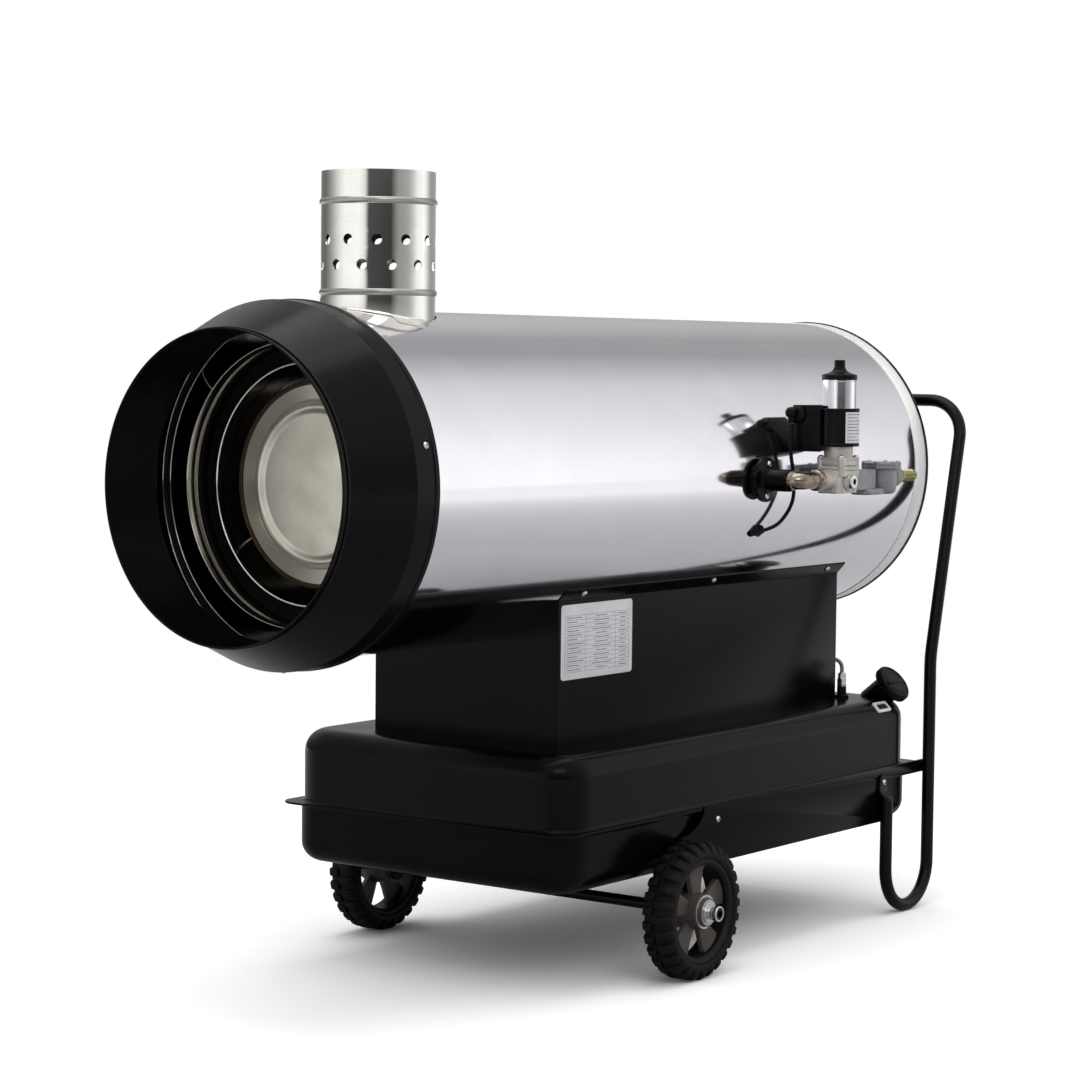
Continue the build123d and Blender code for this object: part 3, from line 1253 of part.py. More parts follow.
# Gas flange: bolted to the side of the body, with a boss behind it and a spigot that reaches inside
with BuildPart() as gas_flange:
    flange_face = sideways(GAS_OFFSET, GAS_FLANGE_FACE, GAS_Z)
    ring(flange_face, GAS_BOSS_RADIUS, 0, -BODY_RADIUS / 2)
    with BuildSketch(across(GAS_OFFSET)):
        Circle(BODY_RADIUS + SEAT_GAP)
    extrude(amount=BODY_RADIUS, both=True, mode=Mode.SUBTRACT)
    ring(flange_face, GAS_FLANGE_RADIUS, 0, -GAS_FLANGE_SHEET)
    ring(flange_face, GAS_STUB_RADIUS, 0, GAS_FLANGE_FACE - GAS_STUB_END)
    ring(flange_face, GAS_SPIGOT_RADIUS, 0, GAS_FLANGE_FACE - GAS_SPIGOT_END)
    bore(flange_face, ELBOW_BORE, 2 * (GAS_FLANGE_FACE - GAS_STUB_END))
    for turn in (GAS_SCREW_ANGLE, GAS_SCREW_ANGLE + 180):
        with BuildSketch(flange_face):
            with PolarLocations(GAS_SCREW_RADIUS, 1, start_angle=turn):
                Circle(SCREW_RADIUS + HOLE_GAP)
        extrude(amount=-BODY_RADIUS / 2, mode=Mode.SUBTRACT)
save(gas_flange, "gas_flange")

# Elbow from the flange to the valve, with a collar at the valve
with BuildPart() as gas_elbow:
    elbow_start = (along(GAS_OFFSET), GAS_STUB_END - SEAT_GAP, GAS_Z)
    elbow_end = (along(VALVE_PORT_START) - SEAT_GAP, GAS_Y, GAS_Z)
    with BuildLine() as elbow_run:
        FilletPolyline(elbow_start, (along(GAS_OFFSET), GAS_Y, GAS_Z), elbow_end, radius=ELBOW_BEND)
    elbow_plane = Plane(origin=elbow_run.line @ 0, z_dir=elbow_run.line % 0)
    with BuildSketch(elbow_plane):
        Circle(ELBOW_RADIUS)
    sweep()
    collar_plane = forward(VALVE_PORT_START, GAS_Y, GAS_Z, -1).offset(SEAT_GAP)
    ring(collar_plane, ELBOW_COLLAR, 0, ELBOW_COLLAR_LENGTH)
    with BuildSketch(elbow_plane):
        Circle(ELBOW_BORE)
    sweep(path=elbow_run.line, mode=Mode.SUBTRACT)
save(gas_elbow, "gas_elbow")

# Valve body: a cast block with a round inlet, a top flange and a test plug on its near face
with BuildPart() as valve_body:
    body_mid = along((VALVE_START + VALVE_END) / 2)
    with BuildSketch(Plane(origin=(body_mid, GAS_Y, VALVE_BOTTOM))):
        Rectangle(VALVE_END - VALVE_START, 2 * VALVE_HALF)
    extrude(amount=VALVE_TOP - VALVE_BOTTOM)
    fillet(valve_body.edges().filter_by(Axis.Z), VALVE_CORNER)
    fillet(valve_body.faces().sort_by(Axis.Z)[0].edges(), VALVE_CORNER / 2)
    with BuildSketch(BONNET_PLANE.offset(-SEAT_GAP)):
        RectangleRounded(BONNET_LENGTH, BONNET_WIDTH, VALVE_CORNER)
    extrude(amount=-VALVE_FLANGE)
    port_length = VALVE_START + VALVE_CORNER - VALVE_PORT_START
    ring(forward(VALVE_PORT_START, GAS_Y, GAS_Z), VALVE_PORT_RADIUS, 0, port_length)
    tap_plane = sideways(VALVE_OFFSET, GAS_Y - VALVE_HALF, TAP_Z)
    ring(tap_plane, TAP_RADIUS + TAP_STEP, 0, TAP_STEP)
    ring(tap_plane, TAP_RADIUS, TAP_RADIUS - TAP_WALL, GAS_Y - VALVE_HALF - TAP_END)
    bore(forward(VALVE_PORT_START, GAS_Y, GAS_Z), ELBOW_BORE, port_length)
    bore(forward(VALVE_END, GAS_Y, GAS_Z), ELBOW_BORE, FILTER_SOCKET)
    with BuildSketch(BONNET_PLANE):
        with Locations(*BONNET_SCREWS):
            Circle(SCREW_RADIUS + HOLE_GAP)
    extrude(amount=-VALVE_FLANGE, mode=Mode.SUBTRACT)
save(valve_body, "valve_body")

# Bonnet: flange and neck between the block and the coil
with BuildPart() as valve_bonnet:
    with BuildSketch(BONNET_PLANE):
        RectangleRounded(BONNET_LENGTH, BONNET_WIDTH, VALVE_CORNER)
    extrude(amount=BONNET_TOP - VALVE_TOP)
    ring(BONNET_PLANE, VALVE_NECK_RADIUS, 0, COIL_BASE - VALVE_TOP - 2 * SEAT_GAP)
    with BuildSketch(BONNET_PLANE):
        with Locations(*BONNET_SCREWS):
            Circle(SCREW_RADIUS + HOLE_GAP)
    extrude(amount=BONNET_TOP - VALVE_TOP, mode=Mode.SUBTRACT)
save(valve_bonnet, "valve_bonnet")

# Coil: a moulded ring round the valve tube
with BuildPart() as valve_coil:
    coil_plane = Plane(origin=(along(VALVE_OFFSET), GAS_Y, COIL_BASE))
    ring(coil_plane, COIL_RADIUS, 0, COIL_TOP - COIL_BASE)
    fillet(valve_coil.edges().filter_by(GeomType.CIRCLE), 1.5)
    with BuildSketch(coil_plane.offset(COIL_PLATE)):
        Circle(STEM_RADIUS + SEAT_GAP)
    extrude(amount=COIL_TOP - COIL_BASE, mode=Mode.SUBTRACT)
save(valve_coil, "valve_coil")

# Valve tube: the closed damper housing above the coil
with BuildPart() as valve_tube:
    tube_foot = coil_plane.offset(COIL_PLATE + SEAT_GAP)
    ring(tube_foot, STEM_RADIUS, 0, STEM_TOP - COIL_BASE - COIL_PLATE - 2 * SEAT_GAP)
save(valve_tube, "valve_tube")

# Cap of the damper, with its setting stud
with BuildPart() as valve_cap:
    cap_foot = Plane(origin=(along(VALVE_OFFSET), GAS_Y, STEM_TOP))
    ring(cap_foot, CAP_DISC_RADIUS, 0, CAP_DISC)
    with BuildSketch(cap_foot.offset(CAP_DISC)):
        Circle(CAP_DISC_RADIUS - 3)
    extrude(amount=CAP_CONE, taper=60)
    ring(cap_foot, STUD_RADIUS, 0, STUD_TOP - STEM_TOP)
    chamfer(valve_cap.faces().sort_by(Axis.Z)[-1].edges(), 1)
save(valve_cap, "valve_cap")

# Terminal box behind the coil, rounded at its corners and cut to the coil
with BuildPart() as terminal_box:
    terminal_mid = ((TERMINAL_START + TERMINAL_END) / 2, (TERMINAL_NEAR + TERMINAL_FAR) / 2)
    with BuildSketch(Plane(origin=(along(terminal_mid[0]), terminal_mid[1], TERMINAL_BASE))):
        RectangleRounded(
            TERMINAL_END - TERMINAL_START, TERMINAL_FAR - TERMINAL_NEAR, TERMINAL_CORNER
        )
    extrude(amount=TERMINAL_TOP - TERMINAL_BASE)
    bore(coil_plane, COIL_RADIUS + SEAT_GAP, TERMINAL_TOP - TERMINAL_BASE)
save(terminal_box, "terminal_box")

# Gas filter: a round cast pot with a square inlet, a round outlet and a flanged lid
with BuildPart() as gas_filter:
    filter_plane = Plane(origin=(along(FILTER_OFFSET), GAS_Y, FILTER_BOTTOM))
    ring(filter_plane, FILTER_RADIUS, 0, FILTER_TOP - FILTER_BOTTOM)
    lid_plane = filter_plane.offset(FILTER_TOP - FILTER_BOTTOM - FILTER_FLANGE)
    ring(lid_plane, FILTER_FLANGE_RADIUS, 0, FILTER_FLANGE + FILTER_LID)
    inlet_start = forward(VALVE_END, GAS_Y, GAS_Z).offset(SEAT_GAP)
    inlet_length = FILTER_INLET_END - VALVE_END
    with BuildSketch(inlet_start):
        with Locations((0, (FILTER_INLET_TOP + FILTER_BOTTOM) / 2 - GAS_Z)):
            RectangleRounded(
                2 * FILTER_INLET_HALF, FILTER_INLET_TOP - FILTER_BOTTOM, VALVE_CORNER
            )
    extrude(amount=inlet_length)
    outlet_plane = forward(FILTER_OUTLET, GAS_Y, GAS_Z)
    ring(outlet_plane, FILTER_BOSS, 0, FILTER_OFFSET - FILTER_OUTLET)
    ring(outlet_plane, FILTER_BOSS + FILTER_BOSS_RIM, 0, -FILTER_SOCKET)
    bore(outlet_plane, NIPPLE_RADIUS + SEAT_GAP, FILTER_SOCKET)
    bore(inlet_start, ELBOW_BORE, inlet_length)
save(gas_filter, "gas_filter")

# Gas nipple: screwed into the filter, for the supply hose
with BuildPart() as gas_nipple:
    ring(outlet_plane, NIPPLE_RADIUS, 0, NIPPLE_END - FILTER_OUTLET)
    ring(outlet_plane, NIPPLE_RADIUS, 0, -FILTER_SOCKET / 2)
    with BuildSketch(outlet_plane.offset(SEAT_GAP)):
        RegularPolygon(NIPPLE_HEXAGON, 6)
    extrude(amount=FILTER_SOCKET)
    bore(outlet_plane, NIPPLE_BORE, NIPPLE_END)
save(gas_nipple, "gas_nipple")

# Cable gland: a nozzle on the front of the terminal box that points down
with BuildPart() as cable_gland:
    gland_spot = (along(GLAND_OFFSET), GLAND_CABLE_Y, GLAND_CABLE_Z)
    gland_back = forward(TERMINAL_START, GLAND_CABLE_Y, GLAND_CABLE_Z, -1).offset(SEAT_GAP)
    ring(gland_back, GLAND_RADIUS, 0, TERMINAL_START - GLAND_OFFSET + GLAND_RADIUS)
    fillet(cable_gland.faces().sort_by(Axis.X)[0].edges(), 3)
    ring(Plane(origin=gland_spot, z_dir=(0, 0, -1)), GLAND_NOZZLE, 0, GLAND_CABLE_Z - GLAND_EXIT_Z)
save(cable_gland, "cable_gland")


def cable_bends(route):
    """Bend radius at each inner point: 0.45 of the shorter run, over the half turn."""
    bends = []
    for before, here, after in zip(route, route[1:], route[2:]):
        arrive = Vector(*here) - Vector(*before)
        leave = Vector(*after) - Vector(*here)
        half_turn = radians(arrive.get_angle(leave) / 2)
        bends.append(0.45 * min(arrive.length, leave.length) / tan(half_turn))
    return bends


# Valve cable: from the gland down behind the elbow and round to the grommet
with BuildPart() as valve_cable:
    cable_points = [(along(x), y, z) for x, y, z in CABLE_ROUTE]
    bends = cable_bends(cable_points)
    print("cable bend radii", [round(bend, 1) for bend in bends])
    with BuildLine() as cable_run:
        FilletPolyline(*cable_points, radius=bends)
    with BuildSketch(Plane(origin=cable_run.line @ 0, z_dir=cable_run.line % 0)):
        Circle(CABLE_RADIUS)
    sweep()
    cable_length = sum(edge.length for edge in cable_run.line.edges())
    print("cable length", round(cable_length, 1))
    plain_volume = cable_length * pi * CABLE_RADIUS ** 2
    print("cable volume against section times length", round(valve_cable.part.volume / plain_volume, 4))
save(valve_cable, "valve_cable")

# Cable grommet: a plug in the body with a nose that points along the cable
with BuildPart() as cable_grommet:
    cable_in = cable_run.line % 1
    nose = Plane(origin=cable_run.line @ 1, z_dir=cable_in).offset(SEAT_GAP)
    ring(nose, GROMMET_NOSE, 0, BODY_RADIUS / 10)
    ring(grommet_plane, GROMMET_RADIUS, 0, GROMMET_HEIGHT)
    with BuildSketch(across(CABLE_ROUTE[-1][0])):
        Circle(BODY_RADIUS + SEAT_GAP)
    extrude(amount=BODY_RADIUS / 5, both=True, mode=Mode.SUBTRACT)
    ring(grommet_plane.offset(GROMMET_HEIGHT), 2 * CABLE_RADIUS, 0, -2 * GROMMET_HEIGHT)
save(cable_grommet, "cable_grommet")

# Screws, all alike in kind: collar, box lips, side plates, gas flange and bonnet
with BuildPart() as screws:
    for angle in COLLAR_SCREW_ANGLES:
        collar_face = radial(COLLAR_SCREW_OFFSET, angle, COLLAR_RADIUS + SEAT_GAP)
        screw(collar_face, COLLAR_RADIUS - BODY_RADIUS + 6)
    for offset in LIP_SCREW_OFFSETS:
        for angle in (lip_angle(LIP_SCREW_Y), 180 - lip_angle(LIP_SCREW_Y)):
            screw(radial(offset, angle, LIP_RADIUS + SEAT_GAP), 8)
    for side in (-1, 1):
        screw(sideways(SIDE_SCREW_FRONT, side * (SIDE_OUTER + SEAT_GAP), SIDE_SCREW_Z, side), 11)
        tab_face = side * (SIDE_OUTER + TAB_SHEET + 2 * SEAT_GAP)
        screw(sideways(FOOT_FRONT, tab_face, SIDE_SCREW_Z, side), 11 + TAB_SHEET)
    for turn in (GAS_SCREW_ANGLE, GAS_SCREW_ANGLE + 180):
        spot = flange_face.offset(SEAT_GAP).from_local_coords(
            (GAS_SCREW_RADIUS * cos(radians(turn)), GAS_SCREW_RADIUS * sin(radians(turn)), 0)
        )
        screw(Plane(origin=spot, z_dir=(0, -1, 0)), GAS_SCREW_LENGTH)
    bonnet_top = BONNET_PLANE.offset(BONNET_TOP - VALVE_TOP + SEAT_GAP)
    for x, y in BONNET_SCREWS:
        corner = Plane(origin=bonnet_top.from_local_coords((x, y, 0)))
        screw(corner, BONNET_TOP - VALVE_TOP + VALVE_FLANGE / 2)
save(screws, "screws")
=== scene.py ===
"""Studio scene of a wheeled dual-fuel indirect-fired heater, dressed piece by piece.

Sizes in the classes are millimetres of the heater's own frame: X runs from the hot-air
outlet to the push handle, the gas train is on the -Y side and Z is up from the floor.
Lengths along X are offsets from the rear edge of the black outlet collar.
"""

import logging
from collections.abc import Iterable, Sequence
from dataclasses import dataclass, field
from enum import Enum
from math import asin, atan2, ceil, cos, pi, radians, sin, sqrt, tan

import bmesh
import bpy
from mathutils import Matrix, Vector


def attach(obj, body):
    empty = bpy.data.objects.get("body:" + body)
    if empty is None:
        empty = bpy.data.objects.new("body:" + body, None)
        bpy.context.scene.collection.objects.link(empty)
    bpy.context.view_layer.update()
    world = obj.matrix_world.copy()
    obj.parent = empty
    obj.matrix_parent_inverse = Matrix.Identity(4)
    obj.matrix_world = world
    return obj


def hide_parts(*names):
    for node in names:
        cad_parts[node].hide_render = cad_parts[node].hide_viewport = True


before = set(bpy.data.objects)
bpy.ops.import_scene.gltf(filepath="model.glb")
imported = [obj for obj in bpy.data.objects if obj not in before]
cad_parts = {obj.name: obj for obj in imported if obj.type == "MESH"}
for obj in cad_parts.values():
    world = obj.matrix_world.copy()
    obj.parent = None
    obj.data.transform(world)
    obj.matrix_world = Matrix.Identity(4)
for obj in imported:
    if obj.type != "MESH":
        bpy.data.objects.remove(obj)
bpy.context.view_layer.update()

log = logging.getLogger("heater")
logging.basicConfig(level=logging.INFO, format="%(name)s: %(message)s")

MM = 0.001
FULL_TURN = 2 * pi
WELD_MM = 0.002  # points closer than this become one
CORE = 0.01  # radius where the profile of a solid turned piece stops
BODY_SIDES = 240  # pieces of the circle on the large tubes

# Places that several sub-assemblies share
COLLAR_X = -583.5  # rear edge of the outlet collar
AXIS_Z = 683.0  # height of the body's axis
BODY_RADIUS = 225.0
FLUE_OFFSET = 163.0
AXLE_OFFSET, AXLE_Z = 510.5, 95.0
WHEEL_Y = 277.0
HUB_REACH = 28.2  # half of the hub's length, with its clearance
FOOT_OFFSET = 1072.0  # front leg of the feet
PLATE_SCREWS = (611.0, FOOT_OFFSET)
PLATE_SCREW_Z = 206.0
GAS_Y, GAS_Z = -290.0, 677.0  # line through elbow, valve, filter and nipple
INLET_OFFSET, VALVE_OFFSET = 755.0, 862.0
FRONT, REAR, NEAR, FAR = (-1, 0, 0), (1, 0, 0), (0, -1, 0), (0, 1, 0)  # directions on the heater
UP, DOWN = (0, 0, 1), (0, 0, -1)
BONNET_SCREWS = tuple((x, y) for x in (-20, 20) for y in (-17, 17))

Point = tuple[float, float, float]
Corner = tuple[float, ...]
Flat = tuple[float, float]
Vert = bmesh.types.BMVert
Socket = bpy.types.NodeSocket


class Body(str, Enum):
    """Bodies of the heater that the pieces ride on."""

    HEATER = "heater"
    WHEEL_LEFT = "wheel_left"
    WHEEL_RIGHT = "wheel_right"
    CAP = "cap"


class Side(Enum):
    """Left (far, +Y) and right (near, -Y) side of the heater."""

    LEFT = 1
    RIGHT = -1


def polar(radius: float, angle: float, height: float = 0.0) -> Vector:
    """Point at this distance and angle from Z."""
    return Vector((radius * cos(angle), radius * sin(angle), height))


def circle(sides: int) -> list[float]:
    """Evenly spaced angles of a full turn."""
    return [FULL_TURN * index / sides for index in range(sides)]


def hexagon(radius: float, turn: float = 0.0) -> list[Flat]:
    """Corners of a hexagon, turned by this angle."""
    return [(radius * cos(pi / 3 * i + turn), radius * sin(pi / 3 * i + turn)) for i in range(6)]


def shift(x: float, y: float, z: float) -> Matrix:
    """Move by this much in a local frame."""
    return Matrix.Translation((x, y, z))


def along(offset: float) -> float:
    """X of a point this far behind the rear edge of the outlet collar."""
    return COLLAR_X + offset


def stand(origin: Point, up: Point, right: Point | None = None) -> Matrix:
    """Make a local frame.

    Args:
        origin: where its zero point is.
        up: direction of its Z.
        right: direction that its X leans towards.

    Returns:
        The frame as a matrix in millimetres.
    """
    z_axis = Vector(up).normalized()
    guide = Vector(right) if right else Vector((1, 0, 0) if abs(z_axis.x) < 0.9 else (0, 1, 0))
    x_axis = (guide - guide.dot(z_axis) * z_axis).normalized()
    made = Matrix((x_axis, z_axis.cross(x_axis), z_axis)).transposed().to_4x4()
    made.translation = Vector(origin)
    return made


def body_frame(offset: float = 0.0) -> Matrix:
    """Frame on the body's axis: Z to the rear, angles count from the far side upwards."""
    return stand((along(offset), 0, AXIS_Z), REAR, FAR)


def on_body(offset: float, degrees_up: float, radius: float) -> Matrix:
    """Frame on a circle about the body's axis, its Z facing outwards.

    Args:
        offset: distance behind the collar.
        degrees_up: angle from the far side upwards.
        radius: distance from the axis.

    Returns:
        The frame, its X to the rear.
    """
    turn = radians(degrees_up)
    spot = (along(offset), radius * cos(turn), AXIS_Z + radius * sin(turn))
    return stand(spot, (0, cos(turn), sin(turn)), REAR)


def rounded(corners: Iterable[Corner], closed: bool = True, step: float = 12.0) -> list[Flat]:
    """Round the corners of a flat outline.

    Args:
        corners: points (a, b) or (a, b, radius).
        closed: whether the last point joins the first.
        step: largest turn of one piece of an arc, in degrees.

    Returns:
        The outline's points.
    """
    corners = list(corners)
    count = len(corners)
    made: list[Flat] = []
    for index, corner in enumerate(corners):
        here = Vector(corner[:2])
        radius = corner[2] if len(corner) > 2 else 0.0
        if radius <= 0 or (not closed and index in (0, count - 1)):
            made.append((here.x, here.y))
            continue
        back = Vector(corners[index - 1][:2]) - here
        ahead = Vector(corners[(index + 1) % count][:2]) - here
        opening = back.angle(ahead)
        turn = pi - opening
        if turn < 1e-4:
            made.append((here.x, here.y))
            continue
        reach = min(radius / tan(opening / 2), 0.49 * back.length, 0.49 * ahead.length)
        radius = reach * tan(opening / 2)
        middle = here + (back.normalized() + ahead.normalized()).normalized() * (radius / sin(opening / 2))
        first = here + back.normalized() * reach - middle
        sense = 1 if back.x * ahead.y - back.y * ahead.x < 0 else -1
        pieces = max(2, ceil(turn / radians(step)))
        for part in range(pieces + 1):
            angle = sense * turn * part / pieces
            made.append((middle.x + first.x * cos(angle) - first.y * sin(angle),
                         middle.y + first.x * sin(angle) + first.y * cos(angle)))
    return made


def rounded_rectangle(half_x: float, half_y: float, corner: float, steps: int) -> list[Flat]:
    """Outline of a rectangle with round corners, the same number of points for any size.

    Args:
        half_x: half of its width.
        half_y: half of its height.
        corner: radius of the corners.
        steps: pieces of each corner.

    Returns:
        The points, anticlockwise.
    """
    made = []
    for quarter, (sign_x, sign_y) in enumerate(((1, 1), (-1, 1), (-1, -1), (1, -1))):
        for part in range(steps + 1):
            angle = pi / 2 * (quarter + part / steps)
            made.append((sign_x * (half_x - corner) + corner * cos(angle),
                         sign_y * (half_y - corner) + corner * sin(angle)))
    return made


def bent_run(corners: Sequence[Point], radii: Sequence[float], step: float = 5.0) -> list[Vector]:
    """Centre line of a bent steel tube.

    Args:
        corners: where its straight runs would meet.
        radii: bend radius at each inner corner.
        step: largest turn of one piece of a bend, in degrees.

    Returns:
        Points from end to end.
    """
    made = [Vector(corners[0])]
    for before, here, after, radius in zip(corners, corners[1:], corners[2:], radii):
        point = Vector(here)
        back = (Vector(before) - point).normalized()
        ahead = (Vector(after) - point).normalized()
        opening = back.angle(ahead)
        reach = radius / tan(opening / 2)
        middle = point + (back + ahead).normalized() * (radius / sin(opening / 2))
        start = point + back * reach - middle
        spin = back.cross(ahead).normalized()
        turn = pi - opening
        pieces = max(2, ceil(turn / radians(step)))
        for part in range(pieces + 1):
            made.append(middle + Matrix.Rotation(-turn * part / pieces, 3, spin) @ start)
    made.append(Vector(corners[-1]))
    return made


class Shape:
    """A mesh in the making, in millimetres of the heater's frame."""

    def __init__(self) -> None:
        """Start with nothing in it."""
        self.bm = bmesh.new()
        self.uv = self.bm.loops.layers.uv.new("Surface")
        self.mark = 0

    def face(self, points: Sequence[Vert], spots: Sequence[Flat] | None = None) -> None:
        """Add one face with its place on the unrolled sheet, in metres.

        Args:
            points: its corners in order.
            spots: their places on the sheet, in millimetres.
        """
        if len(set(points)) < 3:
            return
        made = self.bm.faces.new(points)
        made.material_index = self.mark
        made.smooth = True
        if spots:
            for loop, spot in zip(made.loops, spots):
                loop[self.uv].uv = (spot[0] * MM, spot[1] * MM)

    def loops(self, rings: Sequence[Sequence[Vector]], wrap: bool = True, around: bool = False,
              start_cap: bool = False, end_cap: bool = False) -> list[list[Vert]]:
        """Skin a row of rings that have the same number of points.

        Args:
            rings: the points of each ring.
            wrap: whether each ring closes on itself.
            around: whether the last ring joins the first.
            start_cap: whether the first ring is filled.
            end_cap: whether the last ring is filled.

        Returns:
            The points that were made, ring by ring.
        """
        made = [[self.bm.verts.new(point) for point in ring] for ring in rings]
        count = len(rings[0])
        runs = [0.0]
        for before, here in zip(rings, rings[1:]):
            runs.append(runs[-1] + (here[0] - before[0]).length)
        widest = max(rings, key=lambda ring: sum((a - b).length for a, b in zip(ring, ring[1:])))
        girth = [0.0]
        for index in range(count):
            girth.append(girth[-1] + (widest[(index + 1) % count] - widest[index]).length)
        pairs = list(zip(range(len(made)), range(1, len(made))))
        if around:
            pairs.append((len(made) - 1, 0))
            runs.append(runs[-1] + (rings[0][0] - rings[-1][0]).length)
        for low, high in pairs:
            for index in range(count if wrap else count - 1):
                nxt = (index + 1) % count
                top = runs[high] if high else runs[-1]
                self.face((made[low][index], made[low][nxt], made[high][nxt], made[high][index]),
                          ((girth[index], runs[low]), (girth[index + 1], runs[low]),
                           (girth[index + 1], top), (girth[index], top)))
        if start_cap:
            self.face(list(reversed(made[0])))
        if end_cap:
            self.face(made[-1])
        return made

    def web(self, rings: Sequence[Sequence[Vert]], spots: Sequence[Sequence[Flat]]) -> None:
        """Join closed rows of points, each with its place on the unrolled sheet.

        Args:
            rings: the points of each row.
            spots: their places on the sheet, in millimetres.
        """
        count = len(rings[0])
        for low, high in zip(range(len(rings)), range(1, len(rings))):
            for index in range(count):
                nxt = (index + 1) % count
                self.face((rings[low][index], rings[low][nxt], rings[high][nxt], rings[high][index]),
                          (spots[low][index], spots[low][nxt], spots[high][nxt], spots[high][index]))

    def lathe(self, place: Matrix, corners: Iterable[Corner], sides: int = 96, step: float = 12.0) -> None:
        """Turn a closed profile about the frame's Z.

        Args:
            place: the frame.
            corners: its corners (radius, height) or (radius, height, rounding).
            sides: pieces of the full circle.
            step: largest turn of one piece of a rounding, in degrees.
        """
        profile = rounded(corners, step=step)
        self.loops([[place @ polar(radius, angle, height) for angle in circle(sides)]
                    for radius, height in profile], around=True)

    def tube(self, path: Sequence[Vector], radius: float | Sequence[float], sides: int = 24,
             closed: bool = False) -> None:
        """Sweep a circle along a path, with capped ends unless the path is closed.

        Args:
            path: the centre line.
            radius: one radius, or one for each point.
            sides: pieces of the circle.
            closed: whether the path is a loop.
        """
        count = len(path)
        radii = [radius] * count if isinstance(radius, (int, float)) else list(radius)
        if closed:
            spans = zip([path[-1], *path[:-1]], [*path[1:], path[0]])
        else:
            spans = zip([path[0], *path[:-1]], [*path[1:], path[-1]])
        heading = [(after - before).normalized() for before, after in spans]
        guide = Vector((0, 0, 1)) if abs(heading[0].z) < 0.9 else Vector((1, 0, 0))
        side = (guide - guide.dot(heading[0]) * heading[0]).normalized()
        rings = []
        for point, ahead, size in zip(path, heading, radii):
            side = (side - side.dot(ahead) * ahead).normalized()
            other = ahead.cross(side)
            rings.append([point + (side * cos(angle) + other * sin(angle)) * size
                          for angle in circle(sides)])
        self.loops(rings, around=closed, start_cap=not closed, end_cap=not closed)

    def prism(self, place: Matrix, outline: Sequence[Flat], height: float,
              bevel: float = 0.0, steps: int = 2) -> None:
        """Raise a flat outline along the frame's Z, with softened rims.

        Args:
            place: the frame.
            outline: the points of its base.
            height: how far it rises.
            bevel: width of the softened rims.
            steps: pieces of the bevel.
        """
        low = [self.bm.verts.new(place @ Vector((a, b, 0))) for a, b in outline]
        high = [self.bm.verts.new(place @ Vector((a, b, height))) for a, b in outline]
        count = len(outline)
        before = set(self.bm.faces)
        for index in range(count):
            nxt = (index + 1) % count
            self.face((low[index], low[nxt], high[nxt], high[index]))
        self.face(list(reversed(low)))
        self.face(high)
        if bevel > 0:
            made = [item for item in self.bm.faces if item not in before]
            rims = {edge for item in made[-2:] for edge in item.edges}
            bmesh.ops.bevel(self.bm, geom=list(rims), offset=bevel, segments=steps, profile=0.5,
                            affect="EDGES", clamp_overlap=True, material=-1)
            for item in self.bm.faces:
                if item not in before:
                    item.smooth = True

    def block(self, place: Matrix, size: Point, corner: float, bevel: float = 0.0, steps: int = 3) -> None:
        """A block centred on the frame's X and Y that stands on its Z, all corners rounded.

        Args:
            place: the frame.
            size: width, depth and height.
            corner: radius of the upright edges.
            bevel: width of the softened rims.
            steps: pieces of the bevel.
        """
        outline = rounded_rectangle(size[0] / 2, size[1] / 2, corner, steps + 1)
        self.prism(place, outline, size[2], bevel, steps)

    def thicken(self, amount: float) -> None:
        """Give an open skin its sheet thickness.

        Args:
            amount: the thickness.
        """
        bmesh.ops.recalc_face_normals(self.bm, faces=self.bm.faces[:])
        bmesh.ops.solidify(self.bm, geom=self.bm.faces[:], thickness=amount)
        for item in self.bm.faces:
            item.smooth = True

    def piece(self, name: str, finishes: "Finish | Sequence[Finish]", slot: str, *stands_for: str,
              body: Body = Body.HEATER, sharp: float = 30.0) -> bpy.types.Object:
        """Close the mesh and link it into the scene as a dressed piece.

        Args:
            name: the piece's name.
            finishes: one finish, or one for each mark used in the mesh.
            slot: not used.
            stands_for: CAD nodes that it replaces.
            body: the body that it rides on.
            sharp: angle in degrees above which an edge stays crisp.

        Returns:
            The object.
        """
        bmesh.ops.remove_doubles(self.bm, verts=self.bm.verts[:], dist=WELD_MM)
        bmesh.ops.recalc_face_normals(self.bm, faces=self.bm.faces[:])
        bmesh.ops.scale(self.bm, vec=(MM, MM, MM), verts=self.bm.verts[:])
        mesh = bpy.data.meshes.new(name)
        self.bm.to_mesh(mesh)
        self.bm.free()
        mesh.set_sharp_from_angle(angle=radians(sharp))
        made = bpy.data.objects.new(name, mesh)
        bpy.context.scene.collection.objects.link(made)
        for finish in [finishes] if isinstance(finishes, Finish) else finishes:
            mesh.materials.append(finish.material())
        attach(made, body.value)
        if stands_for:
            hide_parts(*stands_for)
        log.info("%s: %d faces", name, len(mesh.polygons))
        return made


# Finishes


def linear(code: str) -> tuple[float, float, float, float]:
    """Turn an sRGB hex colour such as 8A8C90 into the linear colour that Blender takes.

    Args:
        code: six hex digits.

    Returns:
        Red, green, blue and alpha from 0 to 1.
    """
    parts = [int(code[index:index + 2], 16) / 255 for index in (0, 2, 4)]
    straight = [part / 12.92 if part <= 0.04045 else ((part + 0.055) / 1.055) ** 2.4 for part in parts]
    return (*straight, 1.0)


